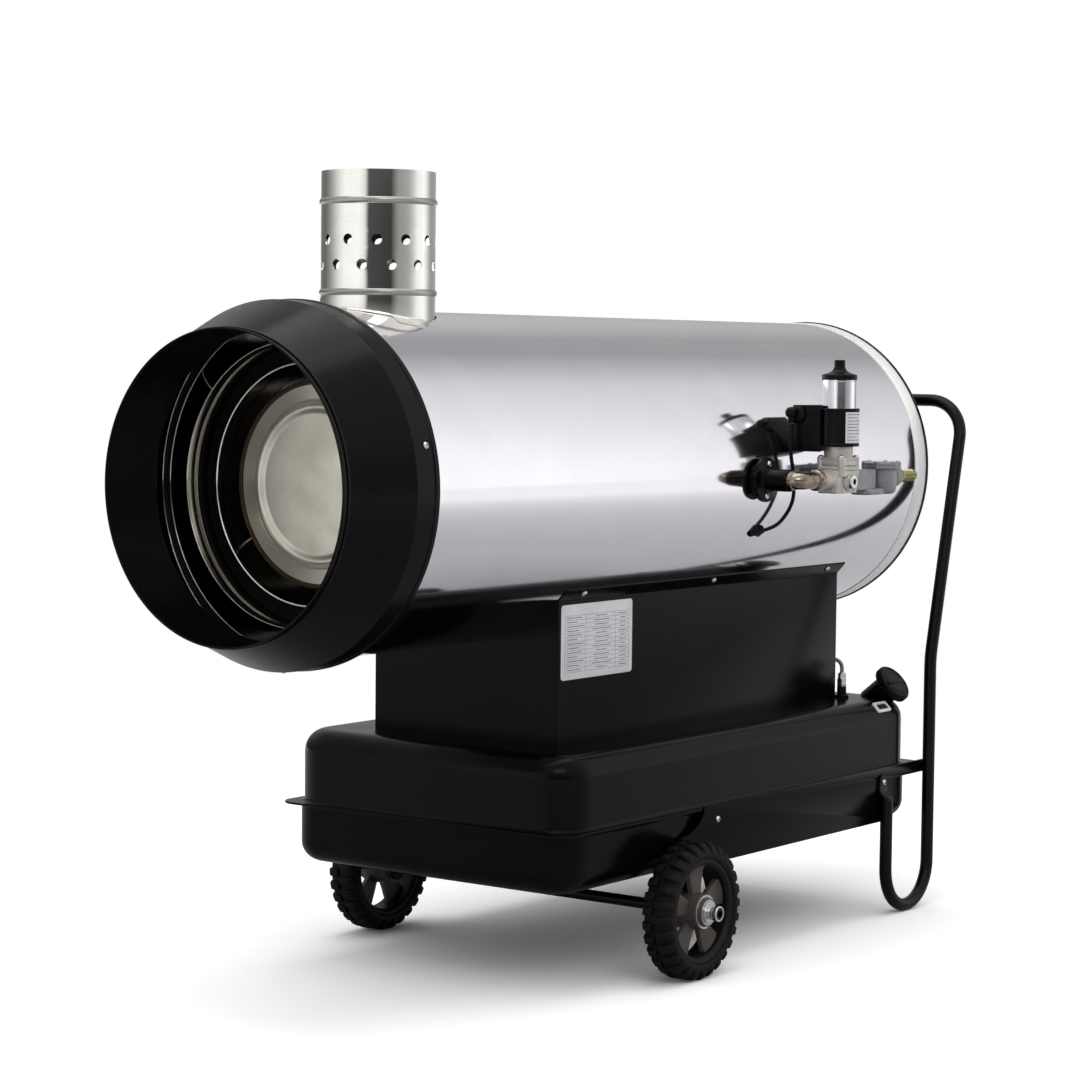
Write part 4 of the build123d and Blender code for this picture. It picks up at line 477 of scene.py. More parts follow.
class Graph:
    """Node tree of one material, or of the world."""

    def __init__(self, name: str, world: bpy.types.World | None = None) -> None:
        """Start an empty tree for a new material of this name, or for a world.

        Args:
            name: the material's name.
            world: the world to fill instead.
        """
        self.material = world or bpy.data.materials.new(name)
        self.material.use_nodes = True
        self.tree = self.material.node_tree
        self.tree.nodes.clear()

    def add(self, kind: str, links: dict | None = None, **settings: object) -> bpy.types.Node:
        """Add a node.

        Args:
            kind: the node's type without its ShaderNode prefix.
            links: value, socket or node for each input, by name or number.
            settings: the node's own settings.

        Returns:
            The node.
        """
        node = self.tree.nodes.new("ShaderNode" + kind)
        for key, value in settings.items():
            setattr(node, key, value)
        for key, value in (links or {}).items():
            if isinstance(value, bpy.types.Node):
                value = value.outputs[0]
            if isinstance(value, Socket):
                self.tree.links.new(value, node.inputs[key])
            else:
                node.inputs[key].default_value = value
        return node

    def noise(self, spot: object, size_mm: float, detail: float = 3.0, stretch: Point = (1, 1, 1),
              distortion: float = 0.0) -> Socket:
        """Cloudy noise whose patches are about this many millimetres wide.

        Args:
            spot: coordinates.
            size_mm: width of a patch.
            detail: layers of finer noise.
            stretch: scale on each axis.
            distortion: how far the patches swirl.

        Returns:
            The noise from 0 to 1.
        """
        moved = self.add("Mapping", {"Vector": spot, "Scale": stretch})
        made = self.add("TexNoise", {"Vector": moved, "Scale": 1 / (size_mm * MM), "Detail": detail,
                                     "Roughness": 0.55, "Distortion": distortion})
        return made.outputs["Fac"]

    def between(self, value: object, low: float, high: float, start: float = 0.3, end: float = 0.7) -> Socket:
        """Map a value that runs from start to end onto low to high.

        Args:
            value: the value.
            low: result at the start.
            high: result at the end.
            start: value that gives low.
            end: value that gives high.

        Returns:
            The clamped result.
        """
        made = self.add("MapRange", {"Value": value, "From Min": start, "From Max": end, "To Min": low,
                                     "To Max": high}, clamp=True)
        return made.outputs["Result"]

    def blend(self, amount: object, first: object, second: object) -> Socket:
        """Mix two colours."""
        made = self.add("Mix", {0: amount, 6: first, 7: second}, data_type="RGBA")
        return made.outputs[2]

    def sum(self, first: object, second: object, kind: str = "ADD") -> Socket:
        """Combine two numbers with one sum."""
        return self.add("Math", {0: first, 1: second}, operation=kind).outputs[0]

    def bump(self, height: object, depth_mm: float, under: object = None) -> Socket:
        """Turn a height from 0 to 1 into relief this many millimetres deep.

        Args:
            height: the height.
            depth_mm: its depth.
            under: relief that it lies on.

        Returns:
            The bent normal.
        """
        links = {"Height": height, "Distance": depth_mm * MM, "Strength": 1.0}
        if under is not None:
            links["Normal"] = under
        return self.add("Bump", links).outputs["Normal"]

    def finish(self, **sockets: object) -> bpy.types.Material:
        """Close the tree with one Principled surface.

        Args:
            sockets: values by socket name, with underscores for spaces.

        Returns:
            The material.
        """
        inputs = {key.replace("_", " "): value for key, value in sockets.items()}
        shader = self.add("BsdfPrincipled", inputs)
        self.add("OutputMaterial", {"Surface": shader})
        return self.material


@dataclass(frozen=True)
class Finish:
    """A surface: what it is made of and how it was made."""

    name: str
    colour: str
    shade: str
    roughness: float
    metallic: float = 0.0
    spread: float = 0.06
    patch_mm: float = 60.0
    grain_mm: float = 1.2
    grain_depth_mm: float = 0.02
    coat: float = 0.0
    coat_roughness: float = 0.12
    specular: float = 0.5

    def material(self) -> bpy.types.Material:
        """The Blender material, made once."""
        return bpy.data.materials.get(self.name) or self.build()

    def tint(self, graph: Graph, tone: object) -> Socket:
        """Colour between the finish's two tones."""
        return graph.blend(tone, linear(self.colour), linear(self.shade))

    def gloss(self, graph: Graph, value: object, start: float = 0.3, end: float = 0.7) -> Socket:
        """Roughness that wanders by the finish's spread as a value runs from start to end."""
        return graph.between(value, self.roughness - self.spread, self.roughness + self.spread, start, end)

    def surface(self, graph: Graph, colour: object, gloss: object, relief: object,
                **more: object) -> bpy.types.Material:
        """Close the graph with colour, gloss, relief and the finish's own metal."""
        return graph.finish(Base_Color=colour, Metallic=self.metallic, Roughness=gloss, Normal=relief, **more)

    def build(self) -> bpy.types.Material:
        """Patchy colour, uneven gloss and fine grain, all in the object's own space.

        Returns:
            The material.
        """
        graph = Graph(self.name)
        spot = graph.add("TexCoord").outputs["Object"]
        patch = graph.noise(spot, self.patch_mm, 4.0)
        grain = graph.noise(spot, self.grain_mm, 2.0)
        tone = graph.between(graph.sum(patch, graph.sum(grain, 0.25, "MULTIPLY")), 0.0, 1.0, 0.38, 0.85)
        return self.surface(graph, self.tint(graph, tone), self.gloss(graph, patch),
                            graph.bump(grain, self.grain_depth_mm), Coat_Weight=self.coat,
                            Coat_Roughness=self.coat_roughness, Specular_IOR_Level=self.specular)


@dataclass(frozen=True)
class RolledSteel(Finish):
    """Polished sheet that was rolled into a tube: long waves and faint lines round it."""

    wave_mm: float = 160.0
    wave_depth_mm: float = 0.05
    line_depth_mm: float = 0.0015

    def build(self) -> bpy.types.Material:
        """Clear reflections that bend a little, with hairlines and faint smears.

        Returns:
            The material.
        """
        graph = Graph(self.name)
        coords = graph.add("TexCoord")
        sheet, spot = coords.outputs["UV"], coords.outputs["Object"]
        wave = graph.noise(spot, self.wave_mm, 1.0)
        lines = graph.noise(sheet, self.grain_mm, 3.0, stretch=(0.02, 1.0, 1.0))
        smear = graph.noise(spot, self.patch_mm, 5.0, distortion=0.6)
        tone = graph.between(graph.sum(lines, smear), 0.0, 1.0, 0.75, 1.25)
        mixed = graph.sum(graph.sum(lines, 0.4, "MULTIPLY"), smear)
        relief = graph.bump(lines, self.line_depth_mm, graph.bump(wave, self.wave_depth_mm))
        return self.surface(graph, self.tint(graph, tone), self.gloss(graph, mixed, 0.45, 0.95), relief)


@dataclass(frozen=True)
class BrushedMetal(Finish):
    """Metal that was turned or brushed in one direction round the piece."""

    def build(self) -> bpy.types.Material:
        """Fine parallel lines in gloss, tone and relief.

        Returns:
            The material.
        """
        graph = Graph(self.name)
        coords = graph.add("TexCoord")
        lines = graph.noise(coords.outputs["UV"], self.grain_mm, 4.0, stretch=(0.03, 1.0, 1.0))
        patch = graph.noise(coords.outputs["Object"], self.patch_mm, 4.0)
        mixed = graph.sum(lines, graph.sum(patch, 0.5, "MULTIPLY"))
        return self.surface(graph, self.tint(graph, graph.between(lines, 0.0, 1.0)),
                            self.gloss(graph, mixed, 0.55, 0.95),
                            graph.bump(lines, self.grain_depth_mm), Anisotropic=0.4)


@dataclass(frozen=True)
class PaintedBandSteel(Finish):
    """Turned stainless with painted bands round the piece: bright painted reflection streaks between dark
    bands of painted shade.
    """

    def build(self) -> bpy.types.Material:
        """Bright metal crossed by bands of painted shade and painted reflection streaks, with fine turning
        lines.

        Returns:
            The material.
        """
        graph = Graph(self.name)
        sheet = graph.add("TexCoord").outputs["UV"]
        bands = graph.noise(sheet, self.patch_mm, 3.0, stretch=(0.012, 1.0, 1.0))
        lines = graph.noise(sheet, self.grain_mm, 3.0, stretch=(0.02, 1.0, 1.0))
        # Bands of the dark colour round the drum are painted shade; the bright metal between them stands in
        # for painted reflection streaks.
        tone = graph.between(graph.sum(bands, graph.sum(lines, 0.3, "MULTIPLY")), 0.0, 1.0, 0.68, 0.86)
        return self.surface(graph, self.tint(graph, tone), self.gloss(graph, bands),
                            graph.bump(lines, self.grain_depth_mm))


@dataclass(frozen=True)
class CastMetal(Finish):
    """Die casting: pebbled skin with darker pits and a few smoother patches."""

    def build(self) -> bpy.types.Material:
        """Pebble relief from two sizes of cells and a mottled tone.

        Returns:
            The material.
        """
        graph = Graph(self.name)
        spot = graph.add("TexCoord").outputs["Object"]
        pebble = graph.add("TexVoronoi", {"Vector": spot, "Scale": 1 / (self.grain_mm * MM)},
                           feature="SMOOTH_F1").outputs["Distance"]
        fine = graph.noise(spot, self.grain_mm * 0.6, 3.0)
        patch = graph.noise(spot, self.patch_mm, 4.0)
        tone = graph.between(graph.sum(patch, graph.sum(pebble, 0.35, "MULTIPLY")), 0.0, 1.0, 0.4, 0.9)
        relief = graph.bump(fine, self.grain_depth_mm * 0.5, graph.bump(pebble, self.grain_depth_mm))
        return self.surface(graph, self.tint(graph, tone), self.gloss(graph, patch), relief)


@dataclass(frozen=True)
class Paint(Finish):
    """Sprayed or powder-coated paint: orange peel under a thin clear gloss, with light dust."""

    dust: str = "3A3A3B"

    def build(self) -> bpy.types.Material:
        """Orange peel relief, faint dust in patches and specks.

        Returns:
            The material.
        """
        graph = Graph(self.name)
        spot = graph.add("TexCoord").outputs["Object"]
        peel = graph.noise(spot, self.grain_mm, 2.0)
        patch = graph.noise(spot, self.patch_mm, 5.0)
        specks = graph.between(graph.noise(spot, 0.7, 1.0), 0.0, 0.35, 0.68, 0.8)
        base = self.tint(graph, graph.between(patch, 0.0, 1.0))
        return self.surface(graph, graph.blend(specks, base, linear(self.dust)), self.gloss(graph, patch),
                            graph.bump(peel, self.grain_depth_mm), Coat_Weight=self.coat,
                            Coat_Roughness=self.coat_roughness, Specular_IOR_Level=self.specular)


@dataclass(frozen=True)
class TyreRubber(Finish):
    """Moulded solid rubber: matt, with dust in patches."""

    dust: str = "4B4741"

    def build(self) -> bpy.types.Material:
        """Fine mould grain with dust in patches.

        Returns:
            The material.
        """
        graph = Graph(self.name)
        spot = graph.add("TexCoord").outputs["Object"]
        grain = graph.noise(spot, self.grain_mm, 3.0)
        patch = graph.noise(spot, self.patch_mm, 4.0)
        dusty = graph.sum(graph.between(patch, 0.0, 0.5), graph.between(grain, 0.2, 1.0), "MULTIPLY")
        base = self.tint(graph, graph.between(patch, 0.0, 1.0))
        return self.surface(graph, graph.blend(dusty, base, linear(self.dust)), self.gloss(graph, patch),
                            graph.bump(grain, self.grain_depth_mm), Specular_IOR_Level=self.specular)


# Each finish: name, two colours, roughness, metallic, spread of the roughness, size of the
# patches and of the grain in millimetres, depth of the grain in millimetres, and what is its own

# Polished stainless sheet: mirror-like body with soft waves in its reflections
BODY_STEEL = RolledSteel("polished_stainless_rolled", "E6E3E8", "DDDAE0", 0.085, 1.0, 0.025, 140.0, 0.5)
# The same sheet on the flue: brighter and closer to a mirror
FLUE_STEEL = RolledSteel("mirror_stainless_tube", "E9E8E3", "DCDAD5", 0.06, 1.0, 0.02, 60.0, 0.4,
                         wave_mm=45.0, wave_depth_mm=0.03)
# Satin stainless edge trim: whiter and duller than the body
BAND_STEEL = BrushedMetal("satin_stainless_strip", "F7F7F6", "EDEDEC", 0.5, 0.8, 0.04, 90.0, 0.5, 0.0004)
# Stainless of the heat exchanger, with painted reflection streaks and painted shade in bands round it
DRUM_STEEL = PaintedBandSteel("stainless_painted_reflection_bands", "E9E5DE", "3A332C", 0.14, 1.0, 0.05, 7.0, 0.5, 0.004)
# Rolled beads, duller than the tube they are pressed from
BEAD_STEEL = Finish("rolled_bead_stainless", "A9A8A4", "93928E", 0.26, 1.0, 0.04, 60.0, 0.5, 0.002)
# Near-black sheet deep inside the outlet: painted shade where the inside lies in shadow
SHADE_BLACK = Finish("black_steel_painted_shade", "0A0908", "050505", 0.6, 0.0, 0.06, 30.0, 1.2, 0.01, specular=0.1)
# Heat-resisting plate in front of the chamber: warm grey, dull
DISC_STEEL = Finish("heat_tinted_plate", "D6D2C6", "C2BEB1", 0.36, 0.85, 0.07, 55.0, 0.8, 0.006)
# Darker, brown copy of the plate for its rim: painted shade of the dark gap round the disc
DISC_RIM = Finish("plate_rim_painted_shade", "4A3527", "33261C", 0.46, 0.7, 0.08, 20.0, 0.8, 0.008)
# Semi-gloss black enamel of tank, box and frame
BLACK_PAINT = Paint("black_enamel", "040405", "070708", 0.2, 0.0, 0.04, 90.0, 2.6, 0.005, specular=0.08,
                    dust="141415")
# Black enamel of the outlet cone, a little flatter
CONE_PAINT = Paint("black_heat_paint", "050505", "080808", 0.24, 0.0, 0.05, 70.0, 2.0, 0.005, specular=0.09,
                   dust="141414")
# Powder coat on the bent tubes
TUBE_PAINT = Paint("black_powder_coat", "060606", "09090A", 0.3, 0.0, 0.05, 60.0, 1.3, 0.01, specular=0.16,
                   dust="171718")
# Grey machine paint on motor and control box
GREY_PAINT = Paint("grey_machine_paint", "6F7275", "63666A", 0.45, 0.0, 0.06, 50.0, 1.5, 0.015, 0.1, 0.3,
                   dust="8A8A88")
# Bright zinc on screws, washers and axle ends
ZINC = Finish("bright_zinc_plating", "DCDEE0", "B4B6BA", 0.26, 1.0, 0.1, 6.0, 0.5, 0.006)
# Galvanised elbow, warmed by thread paste
WARM_ZINC = Finish("galvanised_malleable_iron", "A1958A", "63564A", 0.22, 1.0, 0.1, 9.0, 0.9, 0.02)
# Pale die-cast valve body
CAST_ALLOY = CastMetal("die_cast_aluminium", "BCB9B2", "A8A59E", 0.46, 0.7, 0.08, 14.0, 1.3, 0.02)
# Darker painted casting of the filter
FILTER_ALLOY = CastMetal("grey_cast_filter", "8C8D90", "797A7D", 0.44, 0.6, 0.07, 16.0, 1.2, 0.02)
# Turned damper tube
BRIGHT_ALLOY = BrushedMetal("turned_aluminium", "EEEFF1", "D6D8DC", 0.13, 1.0, 0.04, 30.0, 0.25, 0.002)
# Yellow passivated steel nipple
PASSIVATED = Finish("yellow_passivated_steel", "A8A67A", "6C6A46", 0.3, 1.0, 0.1, 7.0, 0.6, 0.008)
# Moulded black plastic of coil, terminal box and cap
BLACK_PLASTIC = Finish("moulded_black_plastic", "040405", "070708", 0.36, 0.0, 0.05, 30.0, 0.7, 0.008,
                       specular=0.12)
# Brown-grey moulded plastic of the wheels: matt, warmer than the tyre
RIM_PLASTIC = Finish("moulded_rim_plastic", "544E4A", "443F3B", 0.5, 0.0, 0.06, 25.0, 0.9, 0.012,
                     specular=0.3)
# Near-black plastic, painted shade: the deep inside of the rims, and holes, recesses and the level window's
# glass
RIM_SHADE = Finish("near_black_painted_shade", "12100F", "0D0C0B", 0.55, 0.0, 0.05, 25.0, 0.9, 0.012, specular=0.2)
# Solid tyre rubber
TYRE = TyreRubber("moulded_tyre_rubber", "060606", "0A0A09", 0.6, 0.0, 0.07, 18.0, 0.8, 0.02, specular=0.14,
                  dust="191715")
# Cable sheath and grommets
RUBBER = Finish("soft_black_rubber", "050505", "080808", 0.45, 0.0, 0.06, 12.0, 0.5, 0.008, specular=0.14)
# Foil labels, bare
LABEL = Finish("silver_foil_label", "D2D3D6", "C4C5C8", 0.4, 0.1, 0.05, 30.0, 0.5, 0.003)
# Printed rules on the labels
LABEL_LINE = Finish("grey_label_print", "55575A", "48494C", 0.5, 0.0, 0.05, 10.0, 0.5, 0.002)
# White plastic of the level window
GAUGE = Finish("milky_gauge_plastic", "D9DAD6", "C3C4BF", 0.3, 0.0, 0.05, 8.0, 0.5, 0.004, 0.4, 0.08)
# Red plastic of the rocker and reset button
RED_PLASTIC = Finish("red_switch_plastic", "A3231C", "8A1C16", 0.35, 0.0, 0.05, 10.0, 0.5, 0.006, 0.2, 0.15)
# Nickel-plated copper of the fuel line
COPPER = Finish("plated_fuel_line", "8C8A86", "5F5D59", 0.36, 1.0, 0.1, 12.0, 0.6, 0.006)
# Dull mill-finish steel inside the heater
MILL_STEEL = Finish("mill_finish_steel", "A19D96", "86817A", 0.4, 1.0, 0.08, 40.0, 0.9, 0.012)


# Sub-assemblies


@dataclass
class Studio:
    """Camera, pale floor, surround and lamps.

    The fades are distances in metres over which the floor turns from paper to plain white, as
    the camera sees it and as the polished parts mirror it. Walls and ceiling are brightness by
    heading in degrees from +X.
    """

    camera_spot: Point = (-3.3336, -2.4152, 0.8454)
    yaw: float = 36.39
    pitch: float = -3.59
    roll: float = 0.59
    lens: float = 95.62
    floor_half: float = 14.0
    fade: tuple[float, float] = (1.1, 2.4)
    mirror_fade: tuple[float, float] = (1.2, 5.5)
    brightest: float = 1.3
    paper_gain: float = 1.3
    lamp_shape: float = 0.7
    walls: tuple[tuple[float, float], ...] = (
        (-180, 1.25), (-168, 1.0), (-160, 0.08), (-115, 0.05), (-108, 0.2), (-100, 0.36), (-85, 0.42),
        (-76, 0.5), (-66, 0.75), (-55, 1.15), (-36, 1.3), (-22, 0.75), (-14, 0.45), (-5, 0.38), (10, 0.4),
        (35, 0.45), (63, 0.2), (87, 0.16), (103, 0.3), (117, 0.54), (128, 0.8), (139, 1.05), (149, 1.2),
        (180, 1.25))
    ceiling: tuple[tuple[float, float], ...] = (
        (-180, 0.9), (-60, 1.1), (-36, 1.12), (-14, 0.8), (-6, 0.62), (6, 0.42), (18, 0.42), (30, 0.6),
        (70, 0.8), (180, 0.9))

    def camera(self) -> None:
        """Set the camera where the photograph was taken from."""
        yaw, pitch, roll = radians(self.yaw), radians(self.pitch), radians(self.roll)
        ahead = Vector((cos(yaw) * cos(pitch), sin(yaw) * cos(pitch), sin(pitch)))
        flat = Vector((sin(yaw), -cos(yaw), 0))
        above = flat.cross(ahead)
        right = flat * cos(roll) + above * sin(roll)
        upward = above * cos(roll) - flat * sin(roll)
        data = bpy.data.cameras.new("studio_camera")
        data.lens, data.sensor_width = self.lens, 36.0
        data.clip_start, data.clip_end = 0.05, 100.0
        made = bpy.data.objects.new("studio_camera", data)
        made.matrix_world = Matrix((right, upward, -ahead)).transposed().to_4x4()
        made.location = self.camera_spot
        bpy.context.scene.collection.objects.link(made)
        bpy.context.scene.camera = made

    def floor(self) -> None:
        """Lay a white floor that shows white to the camera and keeps the shadows."""
        shape = bmesh.new()
        half = self.floor_half
        corners = ((-half, -half), (half, -half), (half, half), (-half, half))
        shape.faces.new([shape.verts.new((x, y, 0)) for x, y in corners])
        mesh = bpy.data.meshes.new("studio_floor")
        shape.to_mesh(mesh)
        shape.free()
        made = bpy.data.objects.new("studio_floor", mesh)
        bpy.context.scene.collection.objects.link(made)
        graph = Graph("studio_floor_paper")
        spot = graph.add("TexCoord").outputs["Object"]
        paper = graph.blend(graph.noise(spot, 400.0, 2.0), linear("F9F9F9"), linear("F7F7F8"))
        mirrored = graph.blend(graph.noise(spot, 250.0, 2.0), linear("BEBDBF"), linear("BAB9BA"))
        seen = graph.add("LightPath").outputs["Is Camera Ray"]
        lift = graph.add("VectorMath", {0: graph.blend(seen, mirrored, paper),
                                        3: graph.between(seen, 1.0, self.paper_gain, 0.0, 1.0)},
                         operation="SCALE").outputs["Vector"]
        sheet = graph.add("BsdfDiffuse", {"Color": lift})
        glow = graph.add("Emission", {"Color": (1, 1, 1, 1),
                                      "Strength": graph.between(seen, 1.15, 1.0, 0.0, 1.0)})
        away = graph.add("VectorMath", {0: spot}, operation="LENGTH").outputs["Value"]
        shown = graph.sum(graph.between(away, 0.0, 1.0, *self.fade), seen, "MULTIPLY")
        hidden = graph.sum(graph.between(away, 0.0, 1.0, *self.mirror_fade),
                           graph.sum(1.0, seen, "SUBTRACT"), "MULTIPLY")
        far = graph.sum(shown, hidden)
        graph.add("OutputMaterial", {"Surface": graph.add("MixShader", {0: far, 1: sheet, 2: glow})})
        mesh.materials.append(graph.material)

    def surround(self) -> None:
        """Light the set from a soft surround that is white to the camera."""
        world = bpy.data.worlds.new("studio_surround")
        bpy.context.scene.world = world
        graph = Graph(world.name, world)
        facing = graph.add("SeparateXYZ", {0: graph.add("TexCoord").outputs["Generated"]})
        turn = graph.add("Math", {0: facing.outputs["Y"], 1: facing.outputs["X"]}, operation="ARCTAN2")
        heading = graph.between(turn, 0.0, 1.0, -pi, pi)
        walls = self.ramp(graph, heading, self.walls)
        ceiling = self.ramp(graph, heading, self.ceiling)
        rise = graph.between(facing.outputs["Z"], 0.0, 1.0, 0.05, 0.5)
        tone = graph.blend(rise, walls, ceiling)
        seen = graph.add("LightPath").outputs["Is Camera Ray"]
        soft = graph.add("Background", {"Color": tone, "Strength": self.brightest})
        plain = graph.add("Background", {"Color": (1, 1, 1, 1), "Strength": 1.0})
        graph.add("OutputWorld", {"Surface": graph.add("MixShader", {0: seen, 1: soft, 2: plain})})

    def ramp(self, graph: Graph, heading: object, stops: Sequence[Flat]) -> Socket:
        """Grey level by heading; the stops are (degrees from +X, brightness).

        Args:
            graph: the tree.
            heading: the heading from 0 to 1.
            stops: the levels.

        Returns:
            The grey level.
        """
        node = graph.add("ValToRGB", {"Fac": heading})
        while len(node.color_ramp.elements) < len(stops):
            node.color_ramp.elements.new(0.5)
        for element, (angle, level) in zip(node.color_ramp.elements, stops):
            element.position = (angle + 180) / 360
            element.color = (*(level / self.brightest,) * 3, 1.0)
        return node.outputs["Color"]

    def lamps(self) -> None:
        """Hang two wide soft boxes."""
        boxes = (("soft_box_above", (0.0, 0.2, 3.4), 3.0, 42.0),
                 ("soft_box_near", (-2.2, -2.6, 2.6), 1.6, 14.0))
        for name, spot, size, power in boxes:
            data = bpy.data.lights.new(name, "AREA")
            data.shape, data.size, data.size_y, data.energy = "RECTANGLE", size, size * self.lamp_shape, power
            made = bpy.data.objects.new(name, data)
            made.location = spot
            made.rotation_euler = (Vector((0, 0, 0.5)) - Vector(spot)).to_track_quat("-Z", "Y").to_euler()
            bpy.context.scene.collection.objects.link(made)

    def view_settings(self) -> None:
        """Show colours as they are written."""
        bpy.context.scene.view_settings.view_transform = "Standard"

    def build(self) -> None:
        """Set up the studio apart from its camera."""
        self.floor()
        self.surround()
        self.lamps()
        self.view_settings()


@dataclass
class ValveCable:
    """Cable from the terminal box to the body, in one free loop."""

    route: tuple[Point, ...] = (
        (0.2375, -0.235, 0.7565), (0.2345, -0.2355, 0.735), (0.234, -0.2365, 0.711),
        (0.2395, -0.238, 0.688), (0.2415, -0.239, 0.664), (0.2385, -0.238, 0.641), (0.2255, -0.232, 0.620),
        (0.2095, -0.225, 0.6065), (0.1905, -0.217, 0.6025))
    diameter: float = 0.0055
    length: float = 0.184

    def build(self) -> None:
        data = bpy.data.curves.new("valve_cable_run", "CURVE")
        data.dimensions = "3D"
        data.bevel_depth = self.diameter / 2
        data.bevel_resolution = 6
        data.resolution_u = 24
        data.use_fill_caps = True
        spline = data.splines.new("NURBS")
        spline.points.add(len(self.route) - 1)
        for point, spot in zip(spline.points, self.route):
            point.co = (*spot, 1.0)
        spline.order_u = 3
        spline.use_endpoint_u = True
        made = bpy.data.objects.new("valve_cable_run", data)
        bpy.context.scene.collection.objects.link(made)
        data.materials.append(RUBBER.material())
        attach(made, Body.HEATER.value)
        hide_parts("valve_cable")
        log.info("valve_cable_run: %d points", len(self.route))


@dataclass
class HeaterBody:
    """Polished outer cylinder, its rear trim and the rear guard."""

    radius: float = BODY_RADIUS
    sheet: float = 1.0
    front: float = -34.0
    rear: float = 1226.0
    port: float = FLUE_OFFSET
    port_radius: float = 77.0
    band: tuple[float, float] = (1209.0, 1242.0)
    guard: float = 1236.0
    rings: int = 7
    spokes: int = 6
    plate_radius: float = 52.0
    wire: float = 1.8

    def skin(self) -> None:
        """Roll the outer sheet with its flue hole."""
        turns, side_cells, long_cells, margin = BODY_SIDES, 20, 20, 110.0
        start = self.port - margin
        lengths = [self.front, start] + [start + 2 * margin * (i + 1) / long_cells
                                         for i in range(long_cells)]
        lengths += [400.0, 600.0, 800.0, 1000.0, self.rear]
        shape = Shape()
        top = turns // 2
        left, right = top - side_cells, top + side_cells

        def spot(x: float, arc: float) -> Vector:
            """Point of the sheet at this offset and arc length from the top."""
            turn = pi / 2 + arc / self.radius
            return Vector((along(x), self.radius * cos(turn), AXIS_Z + self.radius * sin(turn)))

        def arc(column: int) -> float:
            """Arc length from the top at a column of the sheet."""
            return (column - top) * FULL_TURN / turns * self.radius

        grid = [[shape.bm.verts.new(spot(x, arc(j))) for j in range(turns)] for x in lengths]
        first, last = 1, 1 + long_cells
        for i in range(len(lengths) - 1):
            for j in range(turns):
                if first <= i < last and left <= j < right:
                    continue
                k = (j + 1) % turns
                shape.face((grid[i][j], grid[i][k], grid[i + 1][k], grid[i + 1][j]),
                           ((arc(j), lengths[i]), (arc(j + 1), lengths[i]), (arc(j + 1), lengths[i + 1]),
                            (arc(j), lengths[i + 1])))
        rim = [(first, j) for j in range(left, right)] + [(i, right) for i in range(first, last)]
        rim += [(last, j) for j in range(right, left, -1)] + [(i, left) for i in range(last, first, -1)]
        flat = [(lengths[i], arc(j)) for i, j in rim]
        steps = 5
        rows = [[grid[i][j] for i, j in rim]]
        spots = [flat]
        for step in range(1, steps + 1):
            share = step / steps
            marks = []
            for x, s in flat:
                angle = atan2(s, x - self.port)
                hole_x = self.port + self.port_radius * cos(angle)
                hole_s = self.radius * asin(self.port_radius * sin(angle) / self.radius)
                marks.append((x + (hole_x - x) * share, s + (hole_s - s) * share))
            rows.append([shape.bm.verts.new(spot(*mark)) for mark in marks])
            spots.append(marks)
        shape.web(rows, [[(s, x) for x, s in marks] for marks in spots])
        shape.thicken(self.sheet)
        shape.lathe(body_frame(), (
            (216.8, -0.2, 0.4), (217.9, -0.2, 0.4), (217.9, 1.4, 0.4), (216.8, 1.4, 0.4)), BODY_SIDES)
        # The ring just behind the collar is near-black: painted shade inside the body's front end.
        shape.mark = 1
        shape.lathe(body_frame(), ((217.7, 0), (223.9, 0), (223.9, 1.0), (217.7, 1.0)), BODY_SIDES)
        shape.piece("body_skin", (BODY_STEEL, SHADE_BLACK), "stainless", "body_shell")

    def trim(self) -> None:
        """Roll the rear band with a shallow step and hemmed edges."""
        low, high = self.radius + 0.1, self.radius + 1.3
        start, end = self.band
        shape = Shape()
        shape.lathe(body_frame(), (
            (low, start), (low + 0.7, start, 0.3), (low + 0.7, start + 5.5, 0.6), (high, start + 7.0, 0.8),
            (high, end, 0.5), (low, end)), BODY_SIDES)
        shape.piece("rear_trim_band", BAND_STEEL, "stainless", "rear_band")

    def rear_guard(self) -> None:
        """Bend the guard from wire, with a black rim round it."""
        shape = Shape()
        reach = self.radius - 12
        rim = self.radius + 3.0
        end = self.band[1]
        shape.lathe(body_frame(), (
            (reach, end), (rim, end, 0.4), (rim, end + 5, 1.6), (reach, end + 5, 1.2)), BODY_SIDES)
        step = (reach - self.plate_radius) / (self.rings + 1)
        for index in range(1, self.rings + 1):
            radius = self.plate_radius + step * index
            path = [body_frame(self.guard) @ polar(radius, angle) for angle in circle(120)]
            shape.tube(path, self.wire, 10, closed=True)
        for index in range(self.spokes):
            turn = radians(360 / self.spokes * index + 30)
            heading = Vector((0, cos(turn), sin(turn)))
            centre = Vector((along(self.guard), 0, AXIS_Z))
            shape.tube([centre + heading * (self.plate_radius - 8), centre + heading * (reach - 2),
                        centre + heading * (reach + 3) + Vector((4, 0, 0)),
                        centre + heading * (reach + 5) + Vector((6.5, 0, 0))], self.wire * 1.2, 12)
        plate = self.plate_radius
        shape.lathe(body_frame(self.guard - 4.8), (
            (CORE, 0), (plate, 0, 0.6), (plate, 4.6, 1.6), (plate - 9, 4.6, 1.0), (plate - 12, 3.2, 1.0),
            (CORE, 3.2)), 72)
        for index in range(4):
            turn = radians(45 + 90 * index)
            shape.lathe(body_frame(self.guard - 1.6) @ shift(*polar(30, turn)), (
                (CORE, 0), (4.4, 0), (4.4, 1.2, 0.6), (3.0, 1.7, 0.5), (CORE, 1.7)), 18)
        shape.piece("rear_guard", TUBE_PAINT, "black_paint", "fan_guard")

    def build(self) -> None:
        """Make the body's pieces."""
        self.skin()
        self.trim()
        self.rear_guard()


